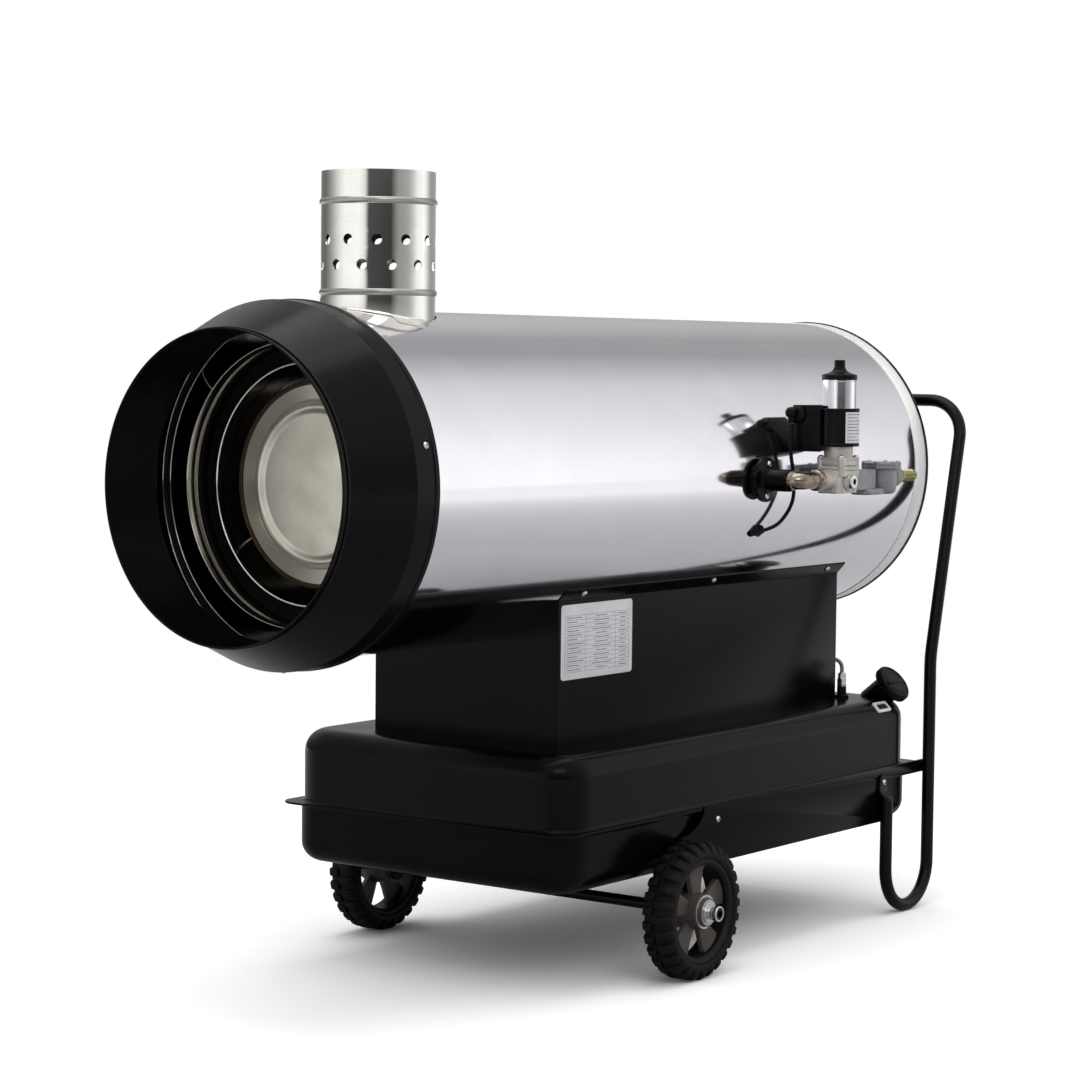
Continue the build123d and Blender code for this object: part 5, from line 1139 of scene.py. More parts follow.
@dataclass
class AirOutlet:
    """Black cone, outlet ring, heat exchanger drum and the disc in its middle."""

    collar: float = 235.4
    mouth: float = 198.5
    sheet: float = 1.5
    drum: float = 184.0
    drum_inner: float = 155.0
    disc: float = 134.5
    disc_face: float = 46.0

    def cone(self) -> None:
        """Press the cone with rounded bends."""
        tip = self.mouth + 0.1
        thick = self.sheet
        shape = Shape()
        shape.lathe(body_frame(), (
            (tip, -130), (tip + thick, -130, 0.6), (tip + thick, -126, 5), (self.collar, -43, 7),
            (self.collar, -9.5, 1.5), (self.collar + 1.4, -8, 1), (self.collar + 1.4, 0, 1.2), (225.2, 0),
            (225.2, -thick), (self.collar - thick, -thick, 1), (self.collar - thick, -43, 5),
            (tip, -126, 4)), BODY_SIDES, step=10)
        shape.piece("outlet_cone_pressing", CONE_PAINT, "black_paint", "outlet_cone")

    def ring(self) -> None:
        """Roll the outlet ring with its wired edge."""
        radius, thick = self.mouth, self.sheet
        shape = Shape()
        shape.lathe(body_frame(), (
            (radius - thick, -48), (radius - thick, -136, 0.8), (radius - thick - 0.8, -138.6, 1.4),
            (radius + 0.85, -140, 1.5), (radius + 0.85, -137, 1.2), (radius, -135.6, 0.8),
            (radius, -48)), BODY_SIDES, step=15)
        shape.piece("outlet_ring", CONE_PAINT, "black_paint", "outlet_spigot")

    def exchanger(self) -> None:
        """Turn the drum's double wall with the bead near its front edge."""
        outer, inner, thick = self.drum, self.drum_inner, self.sheet
        shape = Shape()
        shape.lathe(body_frame(), (
            (outer - thick, -5, 0.6), (outer, -5, 0.6), (outer, 9, 2), (outer + 2.4, 14, 4), (outer, 19, 2),
            (outer, 700), (inner, 700), (inner, 24, 0.6), (inner - 0.6, 22.8, 0.8),
            (inner + thick / 2, 22, 1.0), (inner + thick + 0.9, 22.8, 0.8), (inner + thick, 24.6, 0.6),
            (inner + thick, 37, 2.5), (outer - thick, 37, 2.5), (outer - thick, 19, 2),
            (outer - thick - 2.4, 14, 4), (outer - thick, 9, 2)), 192, step=15)
        # The plate between the drum's walls is near-black: painted shade deep inside the drum.
        shape.mark = 1
        shape.lathe(body_frame(), (
            (inner + thick + 0.1, 26), (inner + thick + 0.9, 26), (inner + thick + 0.9, 36.0, 2.0),
            (outer - thick - 0.9, 36.0, 2.0), (outer - thick - 0.9, 23), (outer - thick - 0.1, 23),
            (outer - thick - 0.1, 36.8, 2.0), (inner + thick + 0.1, 36.8, 2.0)), 192)
        shape.mark = 0
        for offset in (77.0, 640.0):
            for angle in (30, 150, 270):
                shape.block(on_body(offset, angle, outer - 0.5), (24, 2, 39.5), 0.5)
        shape.piece("exchanger_drum_walls", (DRUM_STEEL, SHADE_BLACK), "dull_stainless", "exchanger_drum")

    def front_disc(self) -> None:
        """Press the disc with its softly raised ring and a dark brown rim of painted shade."""
        face, thick, low, high, rise, dark_rim = self.disc_face, self.sheet, 89.5, 110.5, 4.0, 128.5
        swell = [(low + (high - low) * part / 16, face - thick - rise * (1 - cos(FULL_TURN * part / 16)) / 2)
                 for part in range(17)]
        shape = Shape()
        shape.lathe(body_frame(), (
            (CORE, face - thick), *swell, (dark_rim, face - thick), (dark_rim, face), (CORE, face)), 144)
        # The rim takes a darker, brown copy of the plate: painted shade of the gap round the disc.
        shape.mark = 1
        dark_rim += 0.05
        shape.lathe(body_frame(), (
            (dark_rim, face - thick), (self.disc - 2.4, face - thick, 1.5),
            (self.disc - 1.2, face - thick - 2, 0.5), (self.disc, face - thick - 2, 0.5),
            (self.disc, face - 0.1), (dark_rim, face - 0.1)), 144, step=15)
        shape.piece("chamber_front_disc", (DISC_STEEL, DISC_RIM), "dull_stainless", "chamber_disc")

    def build(self) -> None:
        """Make the outlet's pieces."""
        self.cone()
        self.ring()
        self.exchanger()
        self.front_disc()


@dataclass
class Flue:
    """Stainless flue with two beads, two rows of holes and its saddle."""

    offset: float = FLUE_OFFSET
    radius: float = 75.0
    sheet: float = 0.8
    bottom: float = 848.0
    top: float = 1088.5
    beads: tuple[float, ...] = (1049.0, 931.0)
    bead: float = 2.4
    hole: float = 7.0
    rows: tuple[float, ...] = (998.6, 966.2)
    holes: int = 12
    first_hole: float = 8.0

    def spot(self, arc: float, z: float, radius: float | None = None) -> Vector:
        """Point of the pipe at this arc length and height.

        Args:
            arc: arc length from the rear.
            z: height.
            radius: another radius than the pipe has.

        Returns:
            The point.
        """
        turn = arc / self.radius
        size = radius or self.radius
        return Vector((along(self.offset) + size * cos(turn), size * sin(turn), z))

    def plain_part(self, shape: Shape, start: float, profile: Sequence[Flat]) -> None:
        """Add a part of the pipe that has no holes; the profile is (radius, z).

        Args:
            shape: the mesh.
            start: arc length where the seam is.
            profile: the part, upwards.
        """
        cells = self.holes * 8
        for (low_r, low_z), (high_r, high_z) in zip(profile, profile[1:]):
            for index in range(cells):
                arcs = [start + FULL_TURN * self.radius * (index + k) / cells for k in (0, 1)]
                points = (shape.bm.verts.new(self.spot(arcs[0], low_z, low_r)),
                          shape.bm.verts.new(self.spot(arcs[1], low_z, low_r)),
                          shape.bm.verts.new(self.spot(arcs[1], high_z, high_r)),
                          shape.bm.verts.new(self.spot(arcs[0], high_z, high_r)))
                shape.face(points, (
                    (arcs[0], low_z), (arcs[1], low_z), (arcs[1], high_z), (arcs[0], high_z)))

    def holed_patch(self, shape: Shape, arc: float, z: float, half_height: float) -> None:
        """Add a patch of the pipe with one hole in its middle.

        Args:
            shape: the mesh.
            arc: arc length of the hole's middle.
            z: its height.
            half_height: half of the patch.
        """
        cells, steps = 8, 3
        half_width = pi * self.radius / self.holes
        stops = [-1 + 2 * part / cells for part in range(cells)]
        rim = [(stop, -1.0) for stop in stops] + [(1.0, stop) for stop in stops]
        rim += [(-a, -b) for a, b in rim]
        rings = []
        for step in range(steps + 1):
            share = (step / steps) ** 0.8
            ring = []
            for a, b in rim:
                flat_a, flat_b = a * half_width, b * half_height
                angle = atan2(flat_b, flat_a)
                ring.append((arc + flat_a + (self.hole * cos(angle) - flat_a) * share,
                             z + flat_b + (self.hole * sin(angle) - flat_b) * share))
            rings.append(ring)
        shape.web([[shape.bm.verts.new(self.spot(*mark)) for mark in ring] for ring in rings], rings)

    def bead_profile(self, z: float) -> list[Flat]:
        """Profile of one rolled bead, upwards.

        Args:
            z: height of its middle.

        Returns:
            Points (radius, z).
        """
        half_height = 1.8 * self.bead
        turns = [pi * part / 10 for part in range(11)]
        return [(self.radius + self.bead * sin(turn) ** 1.5, z - half_height * cos(turn)) for turn in turns]

    def pipe(self) -> None:
        """Roll the pipe."""
        shape = Shape()
        half_height = (self.rows[0] - self.rows[1]) / 2
        cell = FULL_TURN * self.radius / self.holes
        first = radians(self.first_hole) * self.radius
        for row, z in enumerate(self.rows):
            for index in range(self.holes):
                self.holed_patch(shape, first + cell * (index + row / 2), z, half_height)
        start = first - cell / 2
        low, high = self.rows[1] - half_height, self.rows[0] + half_height
        for z, below, over in ((self.beads[1], self.bottom, low), (self.beads[0], high, self.top)):
            bead = self.bead_profile(z)
            self.plain_part(shape, start, [(self.radius, below), bead[0]])
            shape.mark = 1
            self.plain_part(shape, start, bead)
            shape.mark = 0
            self.plain_part(shape, start, [bead[-1], (self.radius, over)])
        bmesh.ops.remove_doubles(shape.bm, verts=shape.bm.verts[:], dist=0.01)
        shape.thicken(self.sheet)
        shape.piece("flue_tube", (FLUE_STEEL, BEAD_STEEL), "stainless", "flue_pipe")

    def saddle(self) -> None:
        """Draw the saddle that holds the pipe on the body."""
        shape = Shape()
        inner, outer, top = self.radius + 0.1, self.radius + 27.1, 924.0
        over = 226.1
        columns = 72
        rings = []
        for index in range(columns + 1):
            angle = radians(90 + 180 * index / columns)
            ends = min(index, columns - index) / 12
            swell = sqrt(max(0.0, 1 - (1 - ends) ** 2))
            width = outer if ends >= 1 else inner + 7 + (outer - inner - 7) * swell

            def height(radius: float) -> float:
                """Height of the body's skin under a point of the saddle."""
                return AXIS_Z + sqrt(over ** 2 - (radius * sin(angle)) ** 2)

            profile = rounded(((inner + 0.9, top), (inner + 0.9, height(inner + 0.9), 3.0),
                               (width, height(width))), closed=False, step=15)
            rings.append([shift(along(self.offset), 0, 0) @ polar(r, angle, z) for r, z in profile])
        shape.loops(rings, wrap=False)
        shape.thicken(0.9)
        shape.piece("flue_saddle_pressing", FLUE_STEEL, "stainless", "flue_saddle")
        rivets = Shape()
        for angle in (-112, 112, 180):
            turn = radians(angle)
            x, y = along(self.offset) + 90 * cos(turn), 90 * sin(turn)
            z = AXIS_Z + sqrt(over ** 2 - y ** 2)
            up = (0, y, z - AXIS_Z)
            rivets.lathe(stand((x, y, z - 0.2), up), (
                (CORE, 0), (2.4, 0), (2.3, 0.6, 0.4), (1.2, 1.2, 0.8), (CORE, 1.3)), 20)
        rivets.piece("saddle_rivets", ZINC, "zinc")

    def build(self) -> None:
        """Make the flue's pieces."""
        self.pipe()
        self.saddle()


@dataclass
class BurnerBox:
    """Near side sheet of the burner box with its bare data plate."""

    start: float = 355.0
    end: float = 1087.0
    half: float = 159.0
    base: float = 326.1
    lip: float = 173.0
    sheet: float = 1.5
    under: float = 225.1
    plate: tuple[float, float, float, float] = (361.0, 529.0, 414.0, 516.0)

    def side_sheet(self) -> None:
        """Fold the near side sheet, its lip lying along the body."""
        outer = self.under + self.sheet

        def curve(radius: float, start: float, parts: Iterable[int]) -> list[Flat]:
            """Part of the lip, from this distance beside the axis to the lip's edge.

            Args:
                radius: radius of this face of the lip.
                start: distance beside the axis where it begins.
                parts: which of its points, in order.

            Returns:
                Points (y, z).
            """
            first, last = asin(start / radius), asin(self.lip / radius)
            turns = [first + (last - first) * part / 6 for part in parts]
            return [(-radius * sin(turn), AXIS_Z - radius * cos(turn)) for turn in turns]

        lip = curve(outer, self.half, range(1, 7))
        back = curve(self.under, self.half - self.sheet, range(6, -1, -1))
        corner_z = AXIS_Z - sqrt(outer ** 2 - self.half ** 2)
        outline = rounded(((-self.half, self.base), (-self.half, corner_z, 3.0), *lip, *back,
                           (-(self.half - self.sheet), self.base)), step=15)
        shape = Shape()
        place = stand((along(self.start), 0, 0), REAR, FAR)
        shape.prism(place, outline, self.end - self.start, 0.25, 1)
        shape.piece("box_near_sheet", BLACK_PAINT, "black_paint", "box_side_right")

    def data_plate(self) -> None:
        """Cut the bare data plate with embossed fields."""
        x0, x1, z0, z1 = self.plate
        length, height = x1 - x0, z1 - z0
        shape = Shape()
        place = stand((along(x0), -self.half, z0), NEAR, REAR)
        mid = place @ shift(length / 2, height / 2, 0)
        shape.block(mid, (length, height, 0.45), 5, 0.15, 2)
        shape.mark = 1
        rows, reach, pitch, first = 14, 0.45, 0.058, 0.85
        spans = (0.2, 0.14, 0.24, 0.17)

        def bar(across: float, level: float, wide: float, tall: float) -> None:
            """Emboss a bar, placed by fractions of the plate, sized in millimetres."""
            shape.block(mid @ shift(across * length, (level - 0.5) * height, 0.42), (wide, tall, 0.08),
                        0.15)

        for index in range(rows):
            level = first - index * pitch
            bar(0.0, level, 2 * reach * length, 0.4)
            if index < rows - 1:
                bar(-0.42 + spans[index % 4] / 2, level - pitch / 2, spans[index % 4] * length, 1.0)
                bar(0.06, level - pitch / 2, spans[(index * 3 + 1) % 4] * 1.1 * length, 1.0)
                bar(0.36, level - pitch / 2, spans[(index + 2) % 4] * 0.5 * length, 1.0)
        table = (rows - 1) * pitch
        for edge in (-reach, -0.16, 0.26, reach):
            bar(edge, first - table / 2, 0.4, table * height)
        shape.piece("data_plate_bare", (LABEL, LABEL_LINE), "label", "rating_plate")

    def build(self) -> None:
        """Make the box's pieces."""
        self.side_sheet()
        self.data_plate()


@dataclass
class FuelTank:
    """Two pressed shells, filler, level window, pickup and drain."""

    start: float = 260.0
    end: float = 1196.0
    half: float = 241.0
    top: float = 326.0
    seam: float = 223.0
    bottom: float = 140.0
    flange: float = 9.0
    neck_spot: Point = (1160.0, -191.0, 323.5)
    neck_tilt: float = 50.0
    neck_radius: float = 21.5
    neck_length: float = 38.0
    cap_radius: float = 29.5
    window: float = 1104.0
    pickup: tuple[float, float] = (1105.0, -160.0)

    def ring(self, grow: float, z: float, corner: float) -> list[Vector]:
        """One loop of a shell, this much outside its wall.

        Args:
            grow: distance outside the wall.
            z: height.
            corner: radius of the corners.

        Returns:
            The points.
        """
        half_x = (self.end - self.start) / 2 + grow
        mid = along((self.start + self.end) / 2)
        return [Vector((mid + a, b, z)) for a, b in rounded_rectangle(half_x, self.half + grow, corner, 14)]

    def shell(self, name: str, end_z: float, corner: float, edge: float, node: str) -> None:
        """Press one shell: flat seam flange, flared wall and a softly rounded floor.

        Args:
            name: the piece's name.
            end_z: height of its flat end.
            corner: radius of the upright corners.
            edge: radius of the edge round the end.
            node: CAD node that it replaces.
        """
        up = 1 if end_z > self.seam else -1
        sheet = 1.5
        rings = [self.ring(self.flange, self.seam, 26),
                 self.ring(self.flange, self.seam + up * (sheet - 0.4), 26),
                 self.ring(self.flange - 0.4, self.seam + up * sheet, 25.6)]
        flare = 5.5
        for part in range(7):
            turn = radians(90 * part / 6)
            grow = flare * (1 - sin(turn))
            rings.append(self.ring(grow, self.seam + up * (sheet + flare * (1 - cos(turn))), corner + grow))
        for part in range(11):
            turn = radians(90 * part / 10)
            grow = -edge * (1 - cos(turn))
            rings.append(self.ring(grow, end_z - up * edge * (1 - sin(turn)), corner + grow))
        for inset in (edge + 6.0, edge + 40.0):
            rings.append(self.ring(-inset, end_z, max(corner - inset, 14.0)))
        shape = Shape()
        shape.loops(rings, start_cap=True, end_cap=True)
        shape.piece(name, BLACK_PAINT, "black_paint", node, sharp=38)

    def neck_frame(self, rise: float = 0.0) -> Matrix:
        """Frame on the filler neck's axis.

        Args:
            rise: distance along the axis.

        Returns:
            The frame, its Z out of the tank.
        """
        x, y, z = self.neck_spot
        tilt = radians(self.neck_tilt)
        return stand((along(x), y, z), (0, -sin(tilt), cos(tilt)), REAR) @ shift(0, 0, rise)

    def filler(self) -> None:
        """Turn the neck with its weld bead, and mould the ribbed cap."""
        radius = self.neck_radius
        shape = Shape()
        shape.lathe(self.neck_frame(), (
            (radius - 1.5, -13), (radius, -13), (radius, self.neck_length - 11, 0.4),
            (radius + 0.25, self.neck_length - 10.4, 0.2), (radius, self.neck_length - 9.6, 0.2),
            (radius, self.neck_length, 0.6), (radius - 1.5, self.neck_length, 0.6)), 72)
        shape.piece("filler_neck_tube", BLACK_PAINT, "black_paint", "filler_neck")
        cap = Shape()
        base = self.neck_length - 8.0
        frame_cap = self.neck_frame(base)
        outer = self.cap_radius
        ribs = 36
        sides = ribs * 6

        def girth(angle: float, size: float, level: float) -> float:
            """Radius of the ribbed skirt at one angle."""
            wave = max(0.0, cos(angle * ribs)) ** 0.6
            return size - 1.1 * (1 - wave) * level

        rows = ((outer - 0.8, 0.0, 0.0), (outer + 0.6, 0.5, 1.0), (outer + 1.5, 1.6, 1.0),
                (outer + 1.5, 9.6, 1.0), (outer + 0.8, 11.2, 0.8), (outer - 0.8, 12.6, 0.0),
                (outer - 2.2, 13.6, 0.0), (outer - 3.4, 13.4, 0.0), (outer - 4.4, 12.2, 0.0),
                (outer - 9, 12.2, 0.0), (outer - 10, 12.9, 0.0), (6.0, 13.0, 0.0), (CORE, 13.0, 0.0))
        inner = radius + 0.3
        inside = ((CORE, 10.2), (inner, 10.2), (inner, 0.4), (inner + 0.5, 0.0))
        rings = [[frame_cap @ polar(girth(angle, size, level), angle, rise) for angle in circle(sides)]
                 for size, rise, level in rows]
        rings += [[frame_cap @ polar(size, angle, rise) for angle in circle(sides)]
                  for size, rise in inside]
        cap.loops(rings, around=True)
        cap.block(frame_cap @ shift(0, 0, 12.6), (44, 7, 1.4), 3.4, 0.6, 3)
        cap.piece("filler_cap_moulding", BLACK_PLASTIC, "black_plastic", "filler_cap", body=Body.CAP)

    def level_gauge(self) -> None:
        """Milky frame of the level window and its near-black glass of painted shade, bent round the tank's
        edge.
        """
        edge = 31.05
        middle = (-(self.half - 31.0), self.top - 31.0)

        def bent(angle: float, radius: float, x: float) -> Vector:
            """Point round the tank's near top edge; the angle counts from straight up.

            Args:
                angle: degrees.
                radius: distance from the centre of the edge.
                x: distance behind the window's middle.

            Returns:
                The point.
            """
            turn = radians(angle)
            return Vector((along(self.window + x), middle[0] - radius * sin(turn),
                           middle[1] + radius * cos(turn)))

        shape = Shape()
        half_turn = 17.0
        outline = rounded_rectangle(20, half_turn, 5.0, 5)
        inner = rounded_rectangle(14.5, half_turn - 8.5, 3.0, 5)
        rings = [[bent(45 + b, edge, a) for a, b in outline],
                 [bent(45 + b, edge + 1.8, a) for a, b in outline],
                 [bent(45 + b * 0.96, edge + 2.4, a * 0.98) for a, b in outline],
                 [bent(45 + b * 1.04, edge + 2.4, a * 1.02) for a, b in inner],
                 [bent(45 + b, edge + 2.0, a) for a, b in inner],
                 [bent(45 + b, edge + 0.9, a) for a, b in inner]]
        shape.loops(rings, start_cap=True)
        # The glass is near-black: painted shade of the tank's dark inside.
        shape.mark = 1
        glass = [[bent(45 + b, edge + 0.9, a) for a, b in inner],
                 [bent(45 + b * 0.9, edge + 1.3, a * 0.9) for a, b in inner]]
        shape.loops(glass, end_cap=True)
        shape.piece("level_window_frame", (GAUGE, RIM_SHADE), "gauge", "level_window")

    def pickup_parts(self) -> None:
        """Pickup fitting with its union nut."""
        x, y = along(self.pickup[0]), self.pickup[1]
        shape = Shape()
        base = stand((x, y, self.top), UP)
        shape.lathe(base, (
            (CORE, 0), (11, 0), (11, 4.2, 0.8), (9.6, 5.0, 0.8), (7.2, 5.0, 0.4), (7.2, 17), (CORE, 17)), 36)
        shape.mark = 1
        self.nut(shape, base @ shift(0, 0, 17), 8.0, 13.0)
        shape.lathe(base @ shift(0, 0, 30), (
            (CORE, 0), (6.4, 0), (6.4, 7, 1.2), (3.4, 9.8, 0.8), (CORE, 9.8)), 30)
        shape.piece("pickup_union", (BLACK_PLASTIC, ZINC), "zinc", "pickup_fitting")

    @staticmethod
    def nut(shape: Shape, place: Matrix, radius: float, height: float) -> None:
        """Add a hexagon nut with chamfered corners."""
        shape.prism(place, hexagon(radius, pi / 6), height, radius * 0.1, 2)

    def drain(self) -> None:
        """Hexagon drain plug under the tank."""
        shape = Shape()
        place = stand((along(330.0), 0, self.bottom), DOWN)
        self.nut(shape, place, 12.0, 7.0)
        shape.lathe(place, ((CORE, -8), (9, -8), (9, 0), (CORE, 0)), 30)
        shape.piece("drain_plug_hexagon", ZINC, "zinc", "drain_plug")

    def build(self) -> None:
        """Make the tank's pieces."""
        self.shell("tank_upper_pressing", self.top, 62, 31, "tank_upper_shell")
        self.shell("tank_lower_pressing", self.bottom, 52, 28, "tank_lower_shell")
        self.filler()
        self.level_gauge()
        self.pickup_parts()
        self.drain()


@dataclass
class Chassis:
    """Side plates, axle with its ends, and the bent tube of feet and handle."""

    plate_face: float = 252.4
    sheet: float = 2.3
    axle_half: float = 323.0
    tube_radius: float = 9.5
    tube_y: float = 262.0

    def side_plate(self, side: Side) -> None:
        """Cut one side plate, its front lobe turned in towards the wheel.

        Args:
            side: which side.
        """
        sign = side.value
        shape = Shape()
        inner = sign * (self.plate_face - self.sheet)
        place = stand((COLLAR_X, inner, 0), (0, sign, 0), REAR)
        corners = ((577, 145, 1), (1100, 145, 3), (1100, 209, 3), (1208, 209, 2), (1208, 228, 2),
                   (577, 228, 1))
        outline = rounded(((x, -sign * z, corner) for x, z, corner in corners), step=20)
        shape.prism(place, outline, self.sheet, 0.4, 2)
        turn = radians(7.0)
        lobe = stand((along(577), sign * self.plate_face, 0), (-sin(turn), sign * cos(turn), 0),
                     (-cos(turn), -sign * sin(turn), 0))
        reach = (577 - AXLE_OFFSET) / cos(turn)
        radius = 19.0
        turns = [pi + pi * part / 16 for part in range(17)]
        end = [(reach + radius * cos(angle), AXLE_Z + radius * sin(angle)) for angle in turns]
        top = (0.0, 218.0)
        shoulder, middle = (50.0, 188.0), (22.0, 197.0)
        bend = [tuple((1 - t) ** 2 * a + 2 * t * (1 - t) * (2 * m - (a + b) / 2) + t ** 2 * b
                      for a, m, b in zip(shoulder, middle, top)) for t in (part / 10 for part in range(11))]
        lobe_outline = [(a, b * sign) for a, b in ((0.0, 145.0), *end, *bend)]
        shape.prism(lobe @ shift(0, 0, -self.sheet), lobe_outline, self.sheet, 0.4, 2)
        for offset in PLATE_SCREWS:
            shape.lathe(stand((along(offset), inner, PLATE_SCREW_Z), (0, -sign, 0)),
                        ((CORE, 0), (8, 0), (8, 9), (CORE, 9)), 24)
        name = side.name.lower()
        shape.piece(f"side_plate_sheet_{name}", BLACK_PAINT, "black_paint", f"side_plate_{name}")

    def axle(self) -> None:
        """Turn the hollow axle, with the washers and flared end sleeves."""
        shape = Shape()
        half = self.axle_half
        place = stand((along(AXLE_OFFSET), 0, AXLE_Z), FAR, DOWN)
        shape.lathe(place, ((4.8, -half), (8, -half, 0.8), (8, half, 0.8), (4.8, half)), 40)
        shape.piece("axle_tube", TUBE_PAINT, "black_tube", "axle")
        ends = Shape()
        for sign in (-1, 1):
            outward = stand((along(AXLE_OFFSET), 0, AXLE_Z), (0, sign, 0), DOWN)
            for start in (WHEEL_Y - HUB_REACH - 2.4, WHEEL_Y + HUB_REACH):
                ends.lathe(outward, (
                    (8.1, start), (15, start, 0.5), (15, start + 2.4, 0.5), (8.1, start + 2.4)), 40)
            start = WHEEL_Y + HUB_REACH + 2.5
            ends.lathe(outward, (
                (8.1, start), (9.4, start, 0.3), (9.4, half - 8, 1.5), (10.9, half - 6.4, 1.2),
                (10.9, half, 1.2), (8.1, half, 0.5)), 40)
        ends.piece("axle_end_sleeves", ZINC, "zinc", "axle_washers")

    def handle(self) -> None:
        """Bend the one tube of feet, legs and handle, with flattened ends."""
        front, knee_x, lean_x = along(FOOT_OFFSET), along(1202.0), along(1297.5)
        half = ((front, self.tube_y, 178.0), (front, self.tube_y, 9.5), (knee_x, self.tube_y, 9.5),
                (knee_x, self.tube_y, 388.0), (lean_x, self.tube_y, 788.0))
        other = tuple((x, -y, z) for x, y, z in reversed(half))
        bends = (63.0, 63.0, 130.0, 60.0)
        shape = Shape()
        shape.tube(bent_run((*half, *other), bends + bends[::-1]), self.tube_radius, 40)
        for sign in (-1, 1):
            flat_y = sign * (self.plate_face + 0.1 + 2.0)
            rings = []
            sections = ((176.0, 9.5, 9.5, 2.0, sign * self.tube_y),
                        (182.0, 9.9, 8.6, 2.2, sign * (self.tube_y - 0.6)),
                        (187.0, 10.5, 5.8, 2.8, sign * (self.tube_y - 3.4)),
                        (191.0, 10.9, 3.2, 4.0, flat_y + sign * 1.2), (195.0, 11.0, 2.0, 6.0, flat_y),
                        (206.0, 11.0, 2.0, 8.0, flat_y), (211.5, 9.5, 2.0, 8.0, flat_y),
                        (215.5, 5.5, 2.0, 8.0, flat_y), (216.8, 2.4, 1.9, 8.0, flat_y))
            for z, half_x, half_y, power, y in sections:
                ring = []
                for angle in circle(40):
                    c, s = cos(angle), sin(angle)
                    stretch = (abs(c) ** power + abs(s) ** power) ** (-1 / power)
                    ring.append(Vector((front + half_x * c * stretch, y + half_y * s * stretch, z)))
                rings.append(ring)
            shape.loops(rings, start_cap=True, end_cap=True)
        shape.piece("handle_tube", TUBE_PAINT, "black_tube", "handle_frame", sharp=40)

    def build(self) -> None:
        """Make the chassis."""
        for side in Side:
            self.side_plate(side)
        self.axle()
        self.handle()


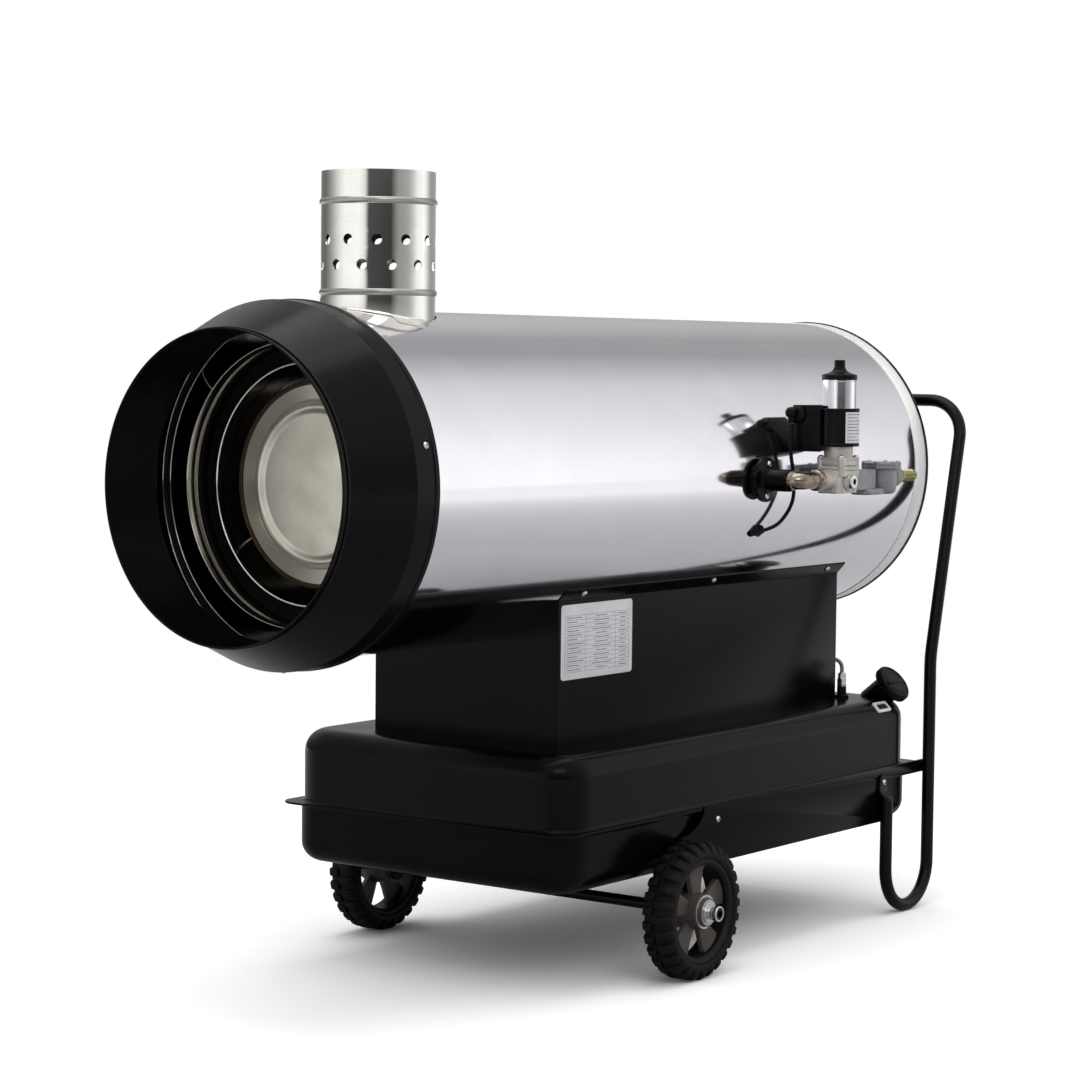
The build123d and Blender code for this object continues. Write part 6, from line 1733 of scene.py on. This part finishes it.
@dataclass
class Wheel:
    """One wheel: moulded rim with five spokes and a chunky solid tyre."""

    side: Side
    radius: float = 95.0
    tread: float = 90.0
    inner: float = 72.0
    width: float = 47.0
    lugs: int = 28
    spokes: int = 5
    hub: float = 26.0
    hub_half: float = 28.0

    def place(self) -> Matrix:
        """Frame on the wheel's axis, Z outwards, local X straight down."""
        sign = self.side.value
        return stand((along(AXLE_OFFSET), sign * WHEEL_Y, AXLE_Z), (0, sign, 0), DOWN)

    @property
    def body(self) -> Body:
        """The body that this wheel turns with."""
        return Body.WHEEL_LEFT if self.side is Side.LEFT else Body.WHEEL_RIGHT

    def tyre(self) -> None:
        """Mould the tyre: rounded carcass and two staggered rows of shoulder lugs."""
        half = self.width / 2
        shape = Shape()
        carcass = rounded(((self.inner, -half + 2.5, 1.0), (self.inner + 4, -half + 0.4, 2.5),
                           (80, -half, 5), (self.tread - 4, -half + 3.5, 4),
                           (self.tread - 0.6, -half + 11, 8), (self.tread + 0.4, 0, 20),
                           (self.tread - 0.6, half - 11, 8), (self.tread - 4, half - 3.5, 4), (80, half, 5),
                           (self.inner + 4, half - 0.4, 2.5), (self.inner, half - 2.5, 1.0)), step=12)
        shape.lathe(self.place(), carcass, 168)
        for row, outward in ((0, 1), (1, -1)):
            for index in range(self.lugs):
                self.lug(shape, (index + row / 2) * 360 / self.lugs, outward, half)
        name = self.side.name.lower()
        shape.piece(f"tyre_{name}", TYRE, "tyre", f"wheel_{name}_tyre", body=self.body, sharp=34)

    def lug(self, shape: Shape, angle: float, outward: int, half: float) -> None:
        """Add one lug that runs from near the middle over the shoulder and down the wall.

        Args:
            shape: the mesh.
            angle: its place round the wheel, in degrees.
            outward: 1 for the outer row, -1 for the inner.
            half: half of the tyre's width.
        """
        place = self.place() @ Matrix.Rotation(radians(angle), 4, "Z")
        sections = ((3.0, 94.6, 89.0, 4.4), (5.0, 95.0, 88.0, 5.0), (13.0, 95.0, 87.0, 5.4),
                    (17.2, 93.6, 84.0, 5.4), (20.4, 90.8, 80.0, 5.0), (22.6, 87.0, 79.0, 4.2),
                    (23.3, 82.5, 79.5, 3.0))
        rings = []
        crown = 0.7
        for y, top, low, wide in sections:
            side = ((low, wide + 1.0), (top - 1.6, wide + 0.35), (top - crown, wide - 0.25),
                    (top, wide - 1.1))
            outline = [(r, -w) for r, w in side] + list(reversed(side))
            rings.append([place @ Vector((r, w, outward * min(y, half - 0.1))) for r, w in outline])
        shape.loops(rings, start_cap=True, end_cap=True)

    def rim(self) -> None:
        """Mould the rim: bed with lips, five dished spokes and a stepped hub."""
        shape = Shape()
        outer = self.inner - 0.1
        bed = 20.5
        # The rim bed is near-black: painted shade deep inside the rim.
        shape.mark = 1
        shape.lathe(self.place(), (
            (outer, -bed, 0.8), (outer, bed, 1.2), (outer - 4.5, bed, 1.4), (outer - 6.5, bed - 2.5, 1.2),
            (63.5, bed - 4.5, 1.5), (63.5, -bed + 4.5, 1.5), (outer - 6.5, -bed + 2.5, 1.2),
            (outer - 4.5, -bed, 1.4)), 144, step=18)
        shape.mark = 0
        soft = 1.4
        sections = ((18.0, 8.6, 0.5, 9.5), (26.0, 10.4, 0.2, 8.2), (40.0, 14.0, 0.0, 7.0),
                    (54.0, 17.4, 0.0, 7.2), (60.0, 19.0, 0.0, 8.6), (63.8, 20.0, 0.0, 10.4))
        for index in range(self.spokes):
            turn = Matrix.Rotation(radians(36 + 360 / self.spokes * index), 4, "Z")
            rings = []
            for reach, wide, low, high in sections:
                side = ((wide, low), (wide, high - soft), (wide - soft * 0.4, high - soft * 0.3),
                        (wide - soft, high))
                outline = [(-w, h) for w, h in side] + list(reversed(side))
                rings.append([self.place() @ turn @ Vector((reach, w, h)) for w, h in outline])
            shape.loops(rings, start_cap=True, end_cap=True)
        half = self.hub_half
        shape.lathe(self.place(), (
            (13.1, -half), (self.hub - 2, -half, 1), (self.hub, -half + 4, 1), (self.hub, 8, 2),
            (self.hub - 1.5, 17, 1.5), (self.hub - 1.5, half - 7, 1), (self.hub - 3.0, half - 5.5, 1),
            (19.5, half - 5.5, 0.6), (19.5, half, 0.8), (13.1, half, 0.6)), 72, step=18)
        shape.mark = 2
        shape.lathe(self.place(), (
            (13.12, half - 6), (18.0, half - 6), (18.0, half + 0.02, 0.3), (13.12, half + 0.02, 0.3)), 60)
        shape.lathe(self.place(), (
            (20.0, half - 7), (23.4, half - 7), (23.4, half - 4.9, 0.5), (20.0, half - 4.9, 0.5)), 60)
        name = self.side.name.lower()
        shape.piece(f"rim_{name}", (RIM_PLASTIC, RIM_SHADE, ZINC), "rim_plastic", f"wheel_{name}_rim",
                    body=self.body)

    def build(self) -> None:
        """Make the wheel."""
        self.tyre()
        self.rim()


@dataclass
class GasTrain:
    """Flange, elbow, valve, coil, damper, terminal box, filter and nipple."""

    y: float = GAS_Y
    z: float = GAS_Z
    inlet: float = INLET_OFFSET
    valve: float = VALVE_OFFSET

    def upright(self, offset: float, z: float) -> Matrix:
        """Frame with Z up at this offset and height."""
        return stand((along(offset), self.y, z), UP)

    def lengthways(self, offset: float) -> Matrix:
        """Frame on the gas line with Z to the rear."""
        return stand((along(offset), self.y, self.z), REAR, FAR)

    def flange(self) -> None:
        """Cast wall flange with its stub."""
        shape = Shape()
        place = stand((along(self.inlet), -237.0, self.z), NEAR, REAR)
        profile = ((9.0, -25.0), (14.0, -25.0), (14.0, None), (24.4, None), (25.0, -7.2), (31.2, -7.0),
                   (32.0, -6.2), (32.0, -1.2), (31.3, -0.3), (30.3, 0.0), (21.0, 0.0), (18.4, 1.0),
                   (16.6, 3.2), (16.0, 7.0), (16.0, 37.6), (15.0, 39.0), (9.0, 39.0))
        rings = []
        for radius, height in profile:
            ring = [place @ polar(radius, angle, height or 0.0) for angle in circle(72)]
            if height is None:
                for point in ring:
                    point.y = -sqrt((BODY_RADIUS + 0.15) ** 2 - (point.z - AXIS_Z) ** 2)
            rings.append(ring)
        shape.loops(rings, around=True)
        shape.piece("gas_wall_flange", BLACK_PAINT, "black_paint", "gas_flange")

    def elbow(self) -> None:
        """Galvanised elbow with a collar at the valve and a trace of thread paste."""
        shape = Shape()
        start, end = (along(self.inlet), -276.1, self.z), (along(808.4), self.y, self.z)
        path = bent_run((start, (along(self.inlet), self.y, self.z), end), (13.0,), 4.0)
        shape.tube(path, 12.4, 40)
        far = stand(end, FRONT, FAR)
        shape.lathe(far, (
            (9, 0), (14.2, 0, 0.8), (14.2, 1.4, 0.5), (15.4, 2.4, 0.8), (15.4, 11.2, 1.6),
            (13.4, 13.2, 1.2), (12.0, 13.6), (9, 13.6)), 48)
        near = stand(start, NEAR, REAR)
        shape.lathe(near, ((11.6, 0.1), (14.0, 0.2, 0.5), (14.0, 5.8, 1.0), (11.6, 7.0)), 36)
        shape.mark = 1
        shape.lathe(far, ((13.0, 0.3), (14.8, 0.6, 0.5), (14.6, 1.9, 0.6), (13.0, 2.4)), 36)
        shape.piece("gas_elbow_fitting", (WARM_ZINC, PASSIVATED), "warm_zinc", "gas_elbow")

    def valve_block(self) -> None:
        """Die-cast block with ribs, ports and the round test plug."""
        shape = Shape()
        mid = 861.0
        shape.block(self.upright(mid, 657.0), (58.8, 34.4, 33.0), 5.0, 1.6, 3)
        shape.block(self.upright(mid, 659.5), (60.0, 26.0, 20.0), 4.0, 1.2, 3)
        shape.block(self.upright(self.valve, 681.2), (50.0, 44.0, 8.7), 5.0, 0.9, 3)
        for lean in (-18.0, 18.0):
            shape.block(self.upright(mid + lean, 659.0), (3.2, 36.0, 22.0), 1.4, 0.8, 2)
        shape.lathe(self.lengthways(808.6), (
            (9, 0), (13.2, 0, 0.6), (14, 1.2, 0.8), (14, 19.0, 2.0), (15.2, 23.0, 1.5), (15.2, 28.0),
            (9, 28.0)), 48)
        tap = stand((along(self.valve), self.y - 17.2, 674.0), NEAR, REAR)
        shape.lathe(tap, ((CORE, 0), (14, 0), (13.4, 2.8, 1.0), (12.0, 3.8, 0.8), (CORE, 3.8)), 48)
        shape.mark = 1
        shape.lathe(tap, (
            (CORE, 3), (11, 3), (11, 5.2, 0.5), (10.2, 5.8, 0.4), (10.2, 10.2, 1.0), (9.0, 11.2, 0.8),
            (4.4, 11.2, 0.4), (4.4, 6.5), (CORE, 6.5)), 48)
        # A near-black disc in the plug's hole: painted shade.
        shape.mark = 2
        shape.lathe(tap, ((CORE, 6.0), (4.5, 6.0), (4.5, 6.8), (CORE, 6.8)), 32)
        shape.piece("valve_block_casting", (CAST_ALLOY, ZINC, RIM_SHADE), "cast_alloy", "valve_body")

    def bonnet(self) -> None:
        """Bonnet in two steps with screw lugs, and the neck under the coil."""
        shape = Shape()
        top = self.upright(self.valve, 690.1)
        shape.block(top, (50, 44, 6.2), 5.0, 0.9, 2)
        shape.block(top @ shift(0, 0, 6.6), (48.6, 42.6, 9.0), 4.6, 1.2, 3)
        shape.block(top @ shift(0, 0, 15.4), (50, 44, 3.4), 5.0, 0.9, 2)
        for x, y in BONNET_SCREWS:
            shape.lathe(top @ shift(x, y, -8.6), (
                (CORE, 0), (5.6, 0, 0.8), (5.6, 27.4, 0.6), (CORE, 27.4)), 24)
        shape.lathe(top @ shift(0, 0, 16), ((CORE, 0), (21, 0, 1), (21, 18.5, 0.8), (CORE, 18.5)), 72)
        shape.piece("valve_bonnet_casting", CAST_ALLOY, "cast_alloy", "valve_bonnet")

    def coil(self) -> None:
        """Moulded coil with flat rims, and its bare ruled label."""
        shape = Shape()
        base = self.upright(self.valve, 725.0)
        shape.lathe(base, (
            (22.0, 0), (29.2, 0, 0.8), (30.0, 1.0, 0.8), (30.0, 3.6, 0.5), (29.3, 4.4, 0.4),
            (29.3, 50.6, 0.4), (30.0, 51.4, 0.5), (30.0, 54.0, 0.8), (29.2, 55.0, 0.8), (24.6, 55.0),
            (24.6, 3.0), (22.0, 3.0)), 96)
        shape.piece("valve_coil_moulding", BLACK_PLASTIC, "black_plastic", "valve_coil")
        label = Shape()
        middle, half = radians(270), radians(40)

        def patch(low: float, high: float, start: float, end: float, radius: float) -> None:
            """Lay a thin rectangle round the coil.

            Args:
                low: its lower edge.
                high: its upper edge.
                start: angle where it begins.
                end: angle where it ends.
                radius: distance from the axis.
            """
            cells = max(2, ceil((end - start) / radians(4)))
            turns = [start + (end - start) * part / cells for part in range(cells + 1)]
            for size in (radius, radius - 0.1):
                rings = [[base @ polar(size, turn, level) for turn in turns] for level in (low, high)]
                label.loops(rings, wrap=False)

        patch(5.2, 49.8, middle - half, middle + half, 29.45)
        label.mark = 1
        for index in range(9):
            level = 9.0 + index * 4.6
            short = 0.55 if index % 3 == 1 else 0.86
            left = middle - half * 0.86
            patch(level, level + 0.9, left, left + 2 * half * 0.86 * short, 29.55)
        label.piece("coil_label_bare", (LABEL, LABEL_LINE), "label")

    def damper(self) -> None:
        """Turned tube above the coil, with its black cap and setting stud."""
        shape = Shape()
        shape.lathe(self.upright(self.valve, 728.1), (
            (CORE, 0), (24.5, 0), (24.5, 91.0, 0.5), (24.0, 91.4, 0.3), (24.0, 92.8), (CORE, 92.8)), 96)
        shape.piece("damper_tube", BRIGHT_ALLOY, "bright_alloy", "valve_tube")
        cap = Shape()
        cap.lathe(self.upright(self.valve, 821.0), (
            (CORE, 0), (25.0, 0), (25.5, 0.8, 0.6), (25.5, 6.4, 0.8), (24.4, 8.0, 1.2), (20.0, 8.8, 2.0),
            (13.0, 11.6, 2.5), (9.6, 14.6, 2.0), (8.6, 17.5, 1.0), (8.0, 18.4, 0.6), (8.0, 27.6, 0.6),
            (7.2, 29.0, 1.0), (3.2, 29.0, 0.4), (2.6, 26.0, 0.4), (CORE, 26.0)), 72)
        cap.piece("damper_cap", BLACK_PLASTIC, "black_plastic", "valve_cap")

    def terminal(self) -> None:
        """Terminal box behind the coil with its lid joint, and the cable gland."""
        shape = Shape()
        start, end, near, far = along(829.0), along(895.0), -278.0, -230.0
        mid, coil = along(self.valve), 30.1
        notch = sqrt(coil ** 2 - (near - self.y) ** 2)
        first = atan2(near - self.y, notch)
        arc = [first + (pi - 2 * first) * index / 24 for index in range(1, 24)]
        outline = [*rounded(((mid - notch, near), (start, near, 1.5), (start, far, 5.0), (end, far, 5.0),
                             (end, near, 1.5), (mid + notch, near)), closed=False, step=15),
                   *((mid + coil * cos(turn), self.y + coil * sin(turn)) for turn in arc)]
        shape.prism(stand((0, 0, 717.0), UP), outline, 52.0, 1.0, 2)
        shape.prism(stand((0, 0, 769.4), UP), outline, 14.6, 1.6, 3)
        shape.piece("terminal_box_moulding", BLACK_PLASTIC, "black_plastic", "terminal_box")
        gland = Shape()
        front = stand((along(828.9), -235.0, 773.0), FRONT, FAR)
        gland.lathe(front, (
            (CORE, 0), (8.5, 0, 0.5), (8.5, 6.5, 0.5), (8.0, 13.5, 3.0), (5.0, 16.4, 3.0), (CORE, 16.4)), 36)
        hood = stand((along(829.0), -241.0, 770.5), FRONT, FAR)
        gland.lathe(hood, ((CORE, 0), (12.5, 0, 0.5), (12.5, 4.0, 2.0), (9.0, 6.2, 2.0), (CORE, 6.6)), 40)
        down = stand((along(821.0), -235.0, 773.0), DOWN)
        gland.lathe(down, (
            (CORE, 0), (5.5, 0), (5.5, 11.0, 0.5), (4.9, 11.6, 0.3), (4.9, 14.8, 0.8), (3.4, 16.0, 0.6),
            (CORE, 16.0)), 30)
        gland.piece("cable_gland_elbow", BLACK_PLASTIC, "black_plastic", "cable_gland")

    def filter(self) -> None:
        """Cast filter pot with its screwed lid and pipe bosses."""
        shape = Shape()
        place = self.upright(988.0, 652.0)
        shape.lathe(place, (
            (CORE, 0), (16.0, 0, 3.0), (21.5, 3.0, 5.0), (23.2, 12.0, 5.0), (23.6, 35.4, 1.5),
            (28.9, 38.2, 0.8), (28.9, 42.2, 0.6), (28.2, 42.8, 0.2), (28.9, 43.4, 0.6), (28.9, 46.6, 1.0),
            (23.0, 47.6, 0.8), (CORE, 47.6)), 96, step=15)
        shape.block(self.upright(921.0, 660.0), (59.0, 27.0, 29.5), 3.0, 1.2, 3)
        shape.lathe(self.lengthways(891.2), (
            (9, 0), (15.0, 0, 0.8), (15.0, 9.0, 1.0), (12.0, 10.5), (9, 10.5)), 48)
        shape.block(self.upright(949.0, 652.1), (58.0, 34.0, 9.5), 12.0, 3.0, 3)
        rear = self.lengthways(1026.0)
        shape.lathe(rear, (
            (9.6, 0), (16.0, 0, 1.2), (16.0, -12.0, 1.5), (13.0, -15.0, 1.0), (12.0, -22.0),
            (9.6, -22.0)), 60, step=18)
        angles = [FULL_TURN * (index + 0.25) / 6 for index in range(6)]
        for angle in angles:
            shape.lathe(place @ shift(*polar(25.6, angle, 36.4)), (
                (CORE, 0), (3.0, 0.4, 0.8), (4.6, 2.0, 0.8), (4.6, 11.2, 0.6), (CORE, 11.4)), 20)
        shape.mark = 1
        for angle in angles:
            shape.lathe(place @ shift(*polar(25.4, angle, 47.4)), (
                (CORE, 0), (3.0, 0), (3.0, 1.6, 0.4), (2.0, 2.2, 0.4), (CORE, 2.3)), 16)
        shape.piece("gas_filter_casting", (FILTER_ALLOY, ZINC), "cast_alloy", "gas_filter")

    def nipple(self) -> None:
        """Passivated hexagon nipple with a threaded end."""
        shape = Shape()
        place = self.lengthways(1026.1)
        shape.prism(place, hexagon(13.0), 12.0, 1.2, 2)
        profile = [(6.0, -5.5), (9.4, -5.5), (9.4, 12.0), (8.6, 13.0), (8.6, 20.0)]
        pitch, threads = 1.8, 18
        for index in range(threads):
            start = 20.5 + index * pitch
            profile += [(8.7, start), (9.5, start + pitch * 0.5)]
        profile += [(8.7, 54.5), (8.4, 56.8), (6.0, 56.8)]
        shape.lathe(place, profile, 60)
        shape.piece("gas_inlet_nipple", PASSIVATED, "passivated", "gas_nipple", sharp=50)

    def build(self) -> None:
        """Make the gas train."""
        self.flange()
        self.elbow()
        self.valve_block()
        self.bonnet()
        self.coil()
        self.damper()
        self.terminal()
        self.filter()
        self.nipple()
        dress("cable_grommet", RUBBER)


@dataclass
class Fasteners:
    """Pan-head screws with cross recesses."""

    head: float = 4.6
    height: float = 3.0
    lip_offsets: tuple[float, ...] = (401.0, 722.0, 1041.0)
    places: list[Matrix] = field(default_factory=list)

    def collect(self) -> None:
        """Work out where each screw sits."""
        for angle in (14.0, 166.0, 270.0):
            self.places.append(on_body(-20.0, angle, 235.5))
        lip = 226.7
        for offset in self.lip_offsets:
            turn = asin(168.0 / lip)
            for sign in (-1, 1):
                spot = (along(offset), sign * lip * sin(turn), AXIS_Z - lip * cos(turn))
                self.places.append(stand(spot, (0, sign * sin(turn), -cos(turn)), REAR))
        for sign in (-1, 1):
            for offset, y in zip(PLATE_SCREWS, (252.5, 256.6)):
                self.places.append(stand((along(offset), sign * y, PLATE_SCREW_Z), (0, sign, 0), REAR))
        for turn in (radians(84.0), radians(264.0)):
            spot = (along(INLET_OFFSET) + 23 * cos(turn), -237.1, GAS_Z + 23 * sin(turn))
            self.places.append(stand(spot, NEAR, REAR))
        for x, y in BONNET_SCREWS:
            self.places.append(stand((along(VALVE_OFFSET + x), GAS_Y + y, 709.1), UP))

    def build(self) -> None:
        """Make all screw heads with their recesses as one piece."""
        self.collect()
        shape = Shape()
        for place in self.places:
            shape.mark = 0
            shape.lathe(place, (
                (CORE, -0.4), (self.head, -0.4), (self.head, 0.9, 0.5), (self.head - 0.9, 2.2, 1.2),
                (2.0, self.height, 1.0), (CORE, self.height)), 28)
            # The cross recesses are near-black: painted shade.
            shape.mark = 1
            for turn in (0.0, pi / 2):
                recess = place @ Matrix.Rotation(turn + 0.6, 4, "Z") @ shift(0, 0, self.height - 0.55)
                shape.block(recess, (4.4, 1.0, 0.58), 0.3)
        shape.piece("pan_head_screws", (ZINC, RIM_SHADE), "zinc", "screws")


def dress(node: str, finish: Finish) -> None:
    """Give a carried-over CAD node its finish.

    Args:
        node: the node's name.
        finish: the finish for all its faces.
    """
    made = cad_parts[node]
    made = bpy.data.objects.get(node) if isinstance(made, str) else made
    made.data.materials.clear()
    made.data.materials.append(finish.material())
    log.info("%s: carried over as %s", node, finish.name)


@dataclass
class CarriedParts:
    """CAD nodes whose shape stays and which only get a finish."""

    finishes: tuple[tuple[Finish, tuple[str, ...]], ...] = (
        (BLACK_PAINT, ("box_side_left", "box_front", "box_rear", "box_floor")),
        (MILL_STEEL, ("combustion_chamber", "burner_tube", "burner_head", "wheel_bushes")),
        (GREY_PAINT, ("fan", "fan_motor", "ignition_transformer", "control_unit")),
        (CAST_ALLOY, ("fuel_pump",)),
        (RED_PLASTIC, ("mains_switch", "reset_button")),
        (BLACK_PLASTIC, ("fuel_selector", "mains_gland")),
        (COPPER, ("fuel_line",)),
        (RUBBER, ("cap_gasket",)))

    def build(self) -> None:
        """Dress every carried node."""
        for finish, nodes in self.finishes:
            for node in nodes:
                dress(node, finish)


def main() -> None:
    """Build the studio and the heater, camera and cable first."""
    studio = Studio()
    studio.camera()
    ValveCable().build()
    studio.build()
    for assembly in (HeaterBody(), AirOutlet(), Flue(), BurnerBox(), FuelTank(), Chassis(),
                     Wheel(Side.RIGHT), Wheel(Side.LEFT), GasTrain(), Fasteners(), CarriedParts()):
        assembly.build()
        log.info("%s done", type(assembly).__name__)


if __name__ == "__main__":
    main()
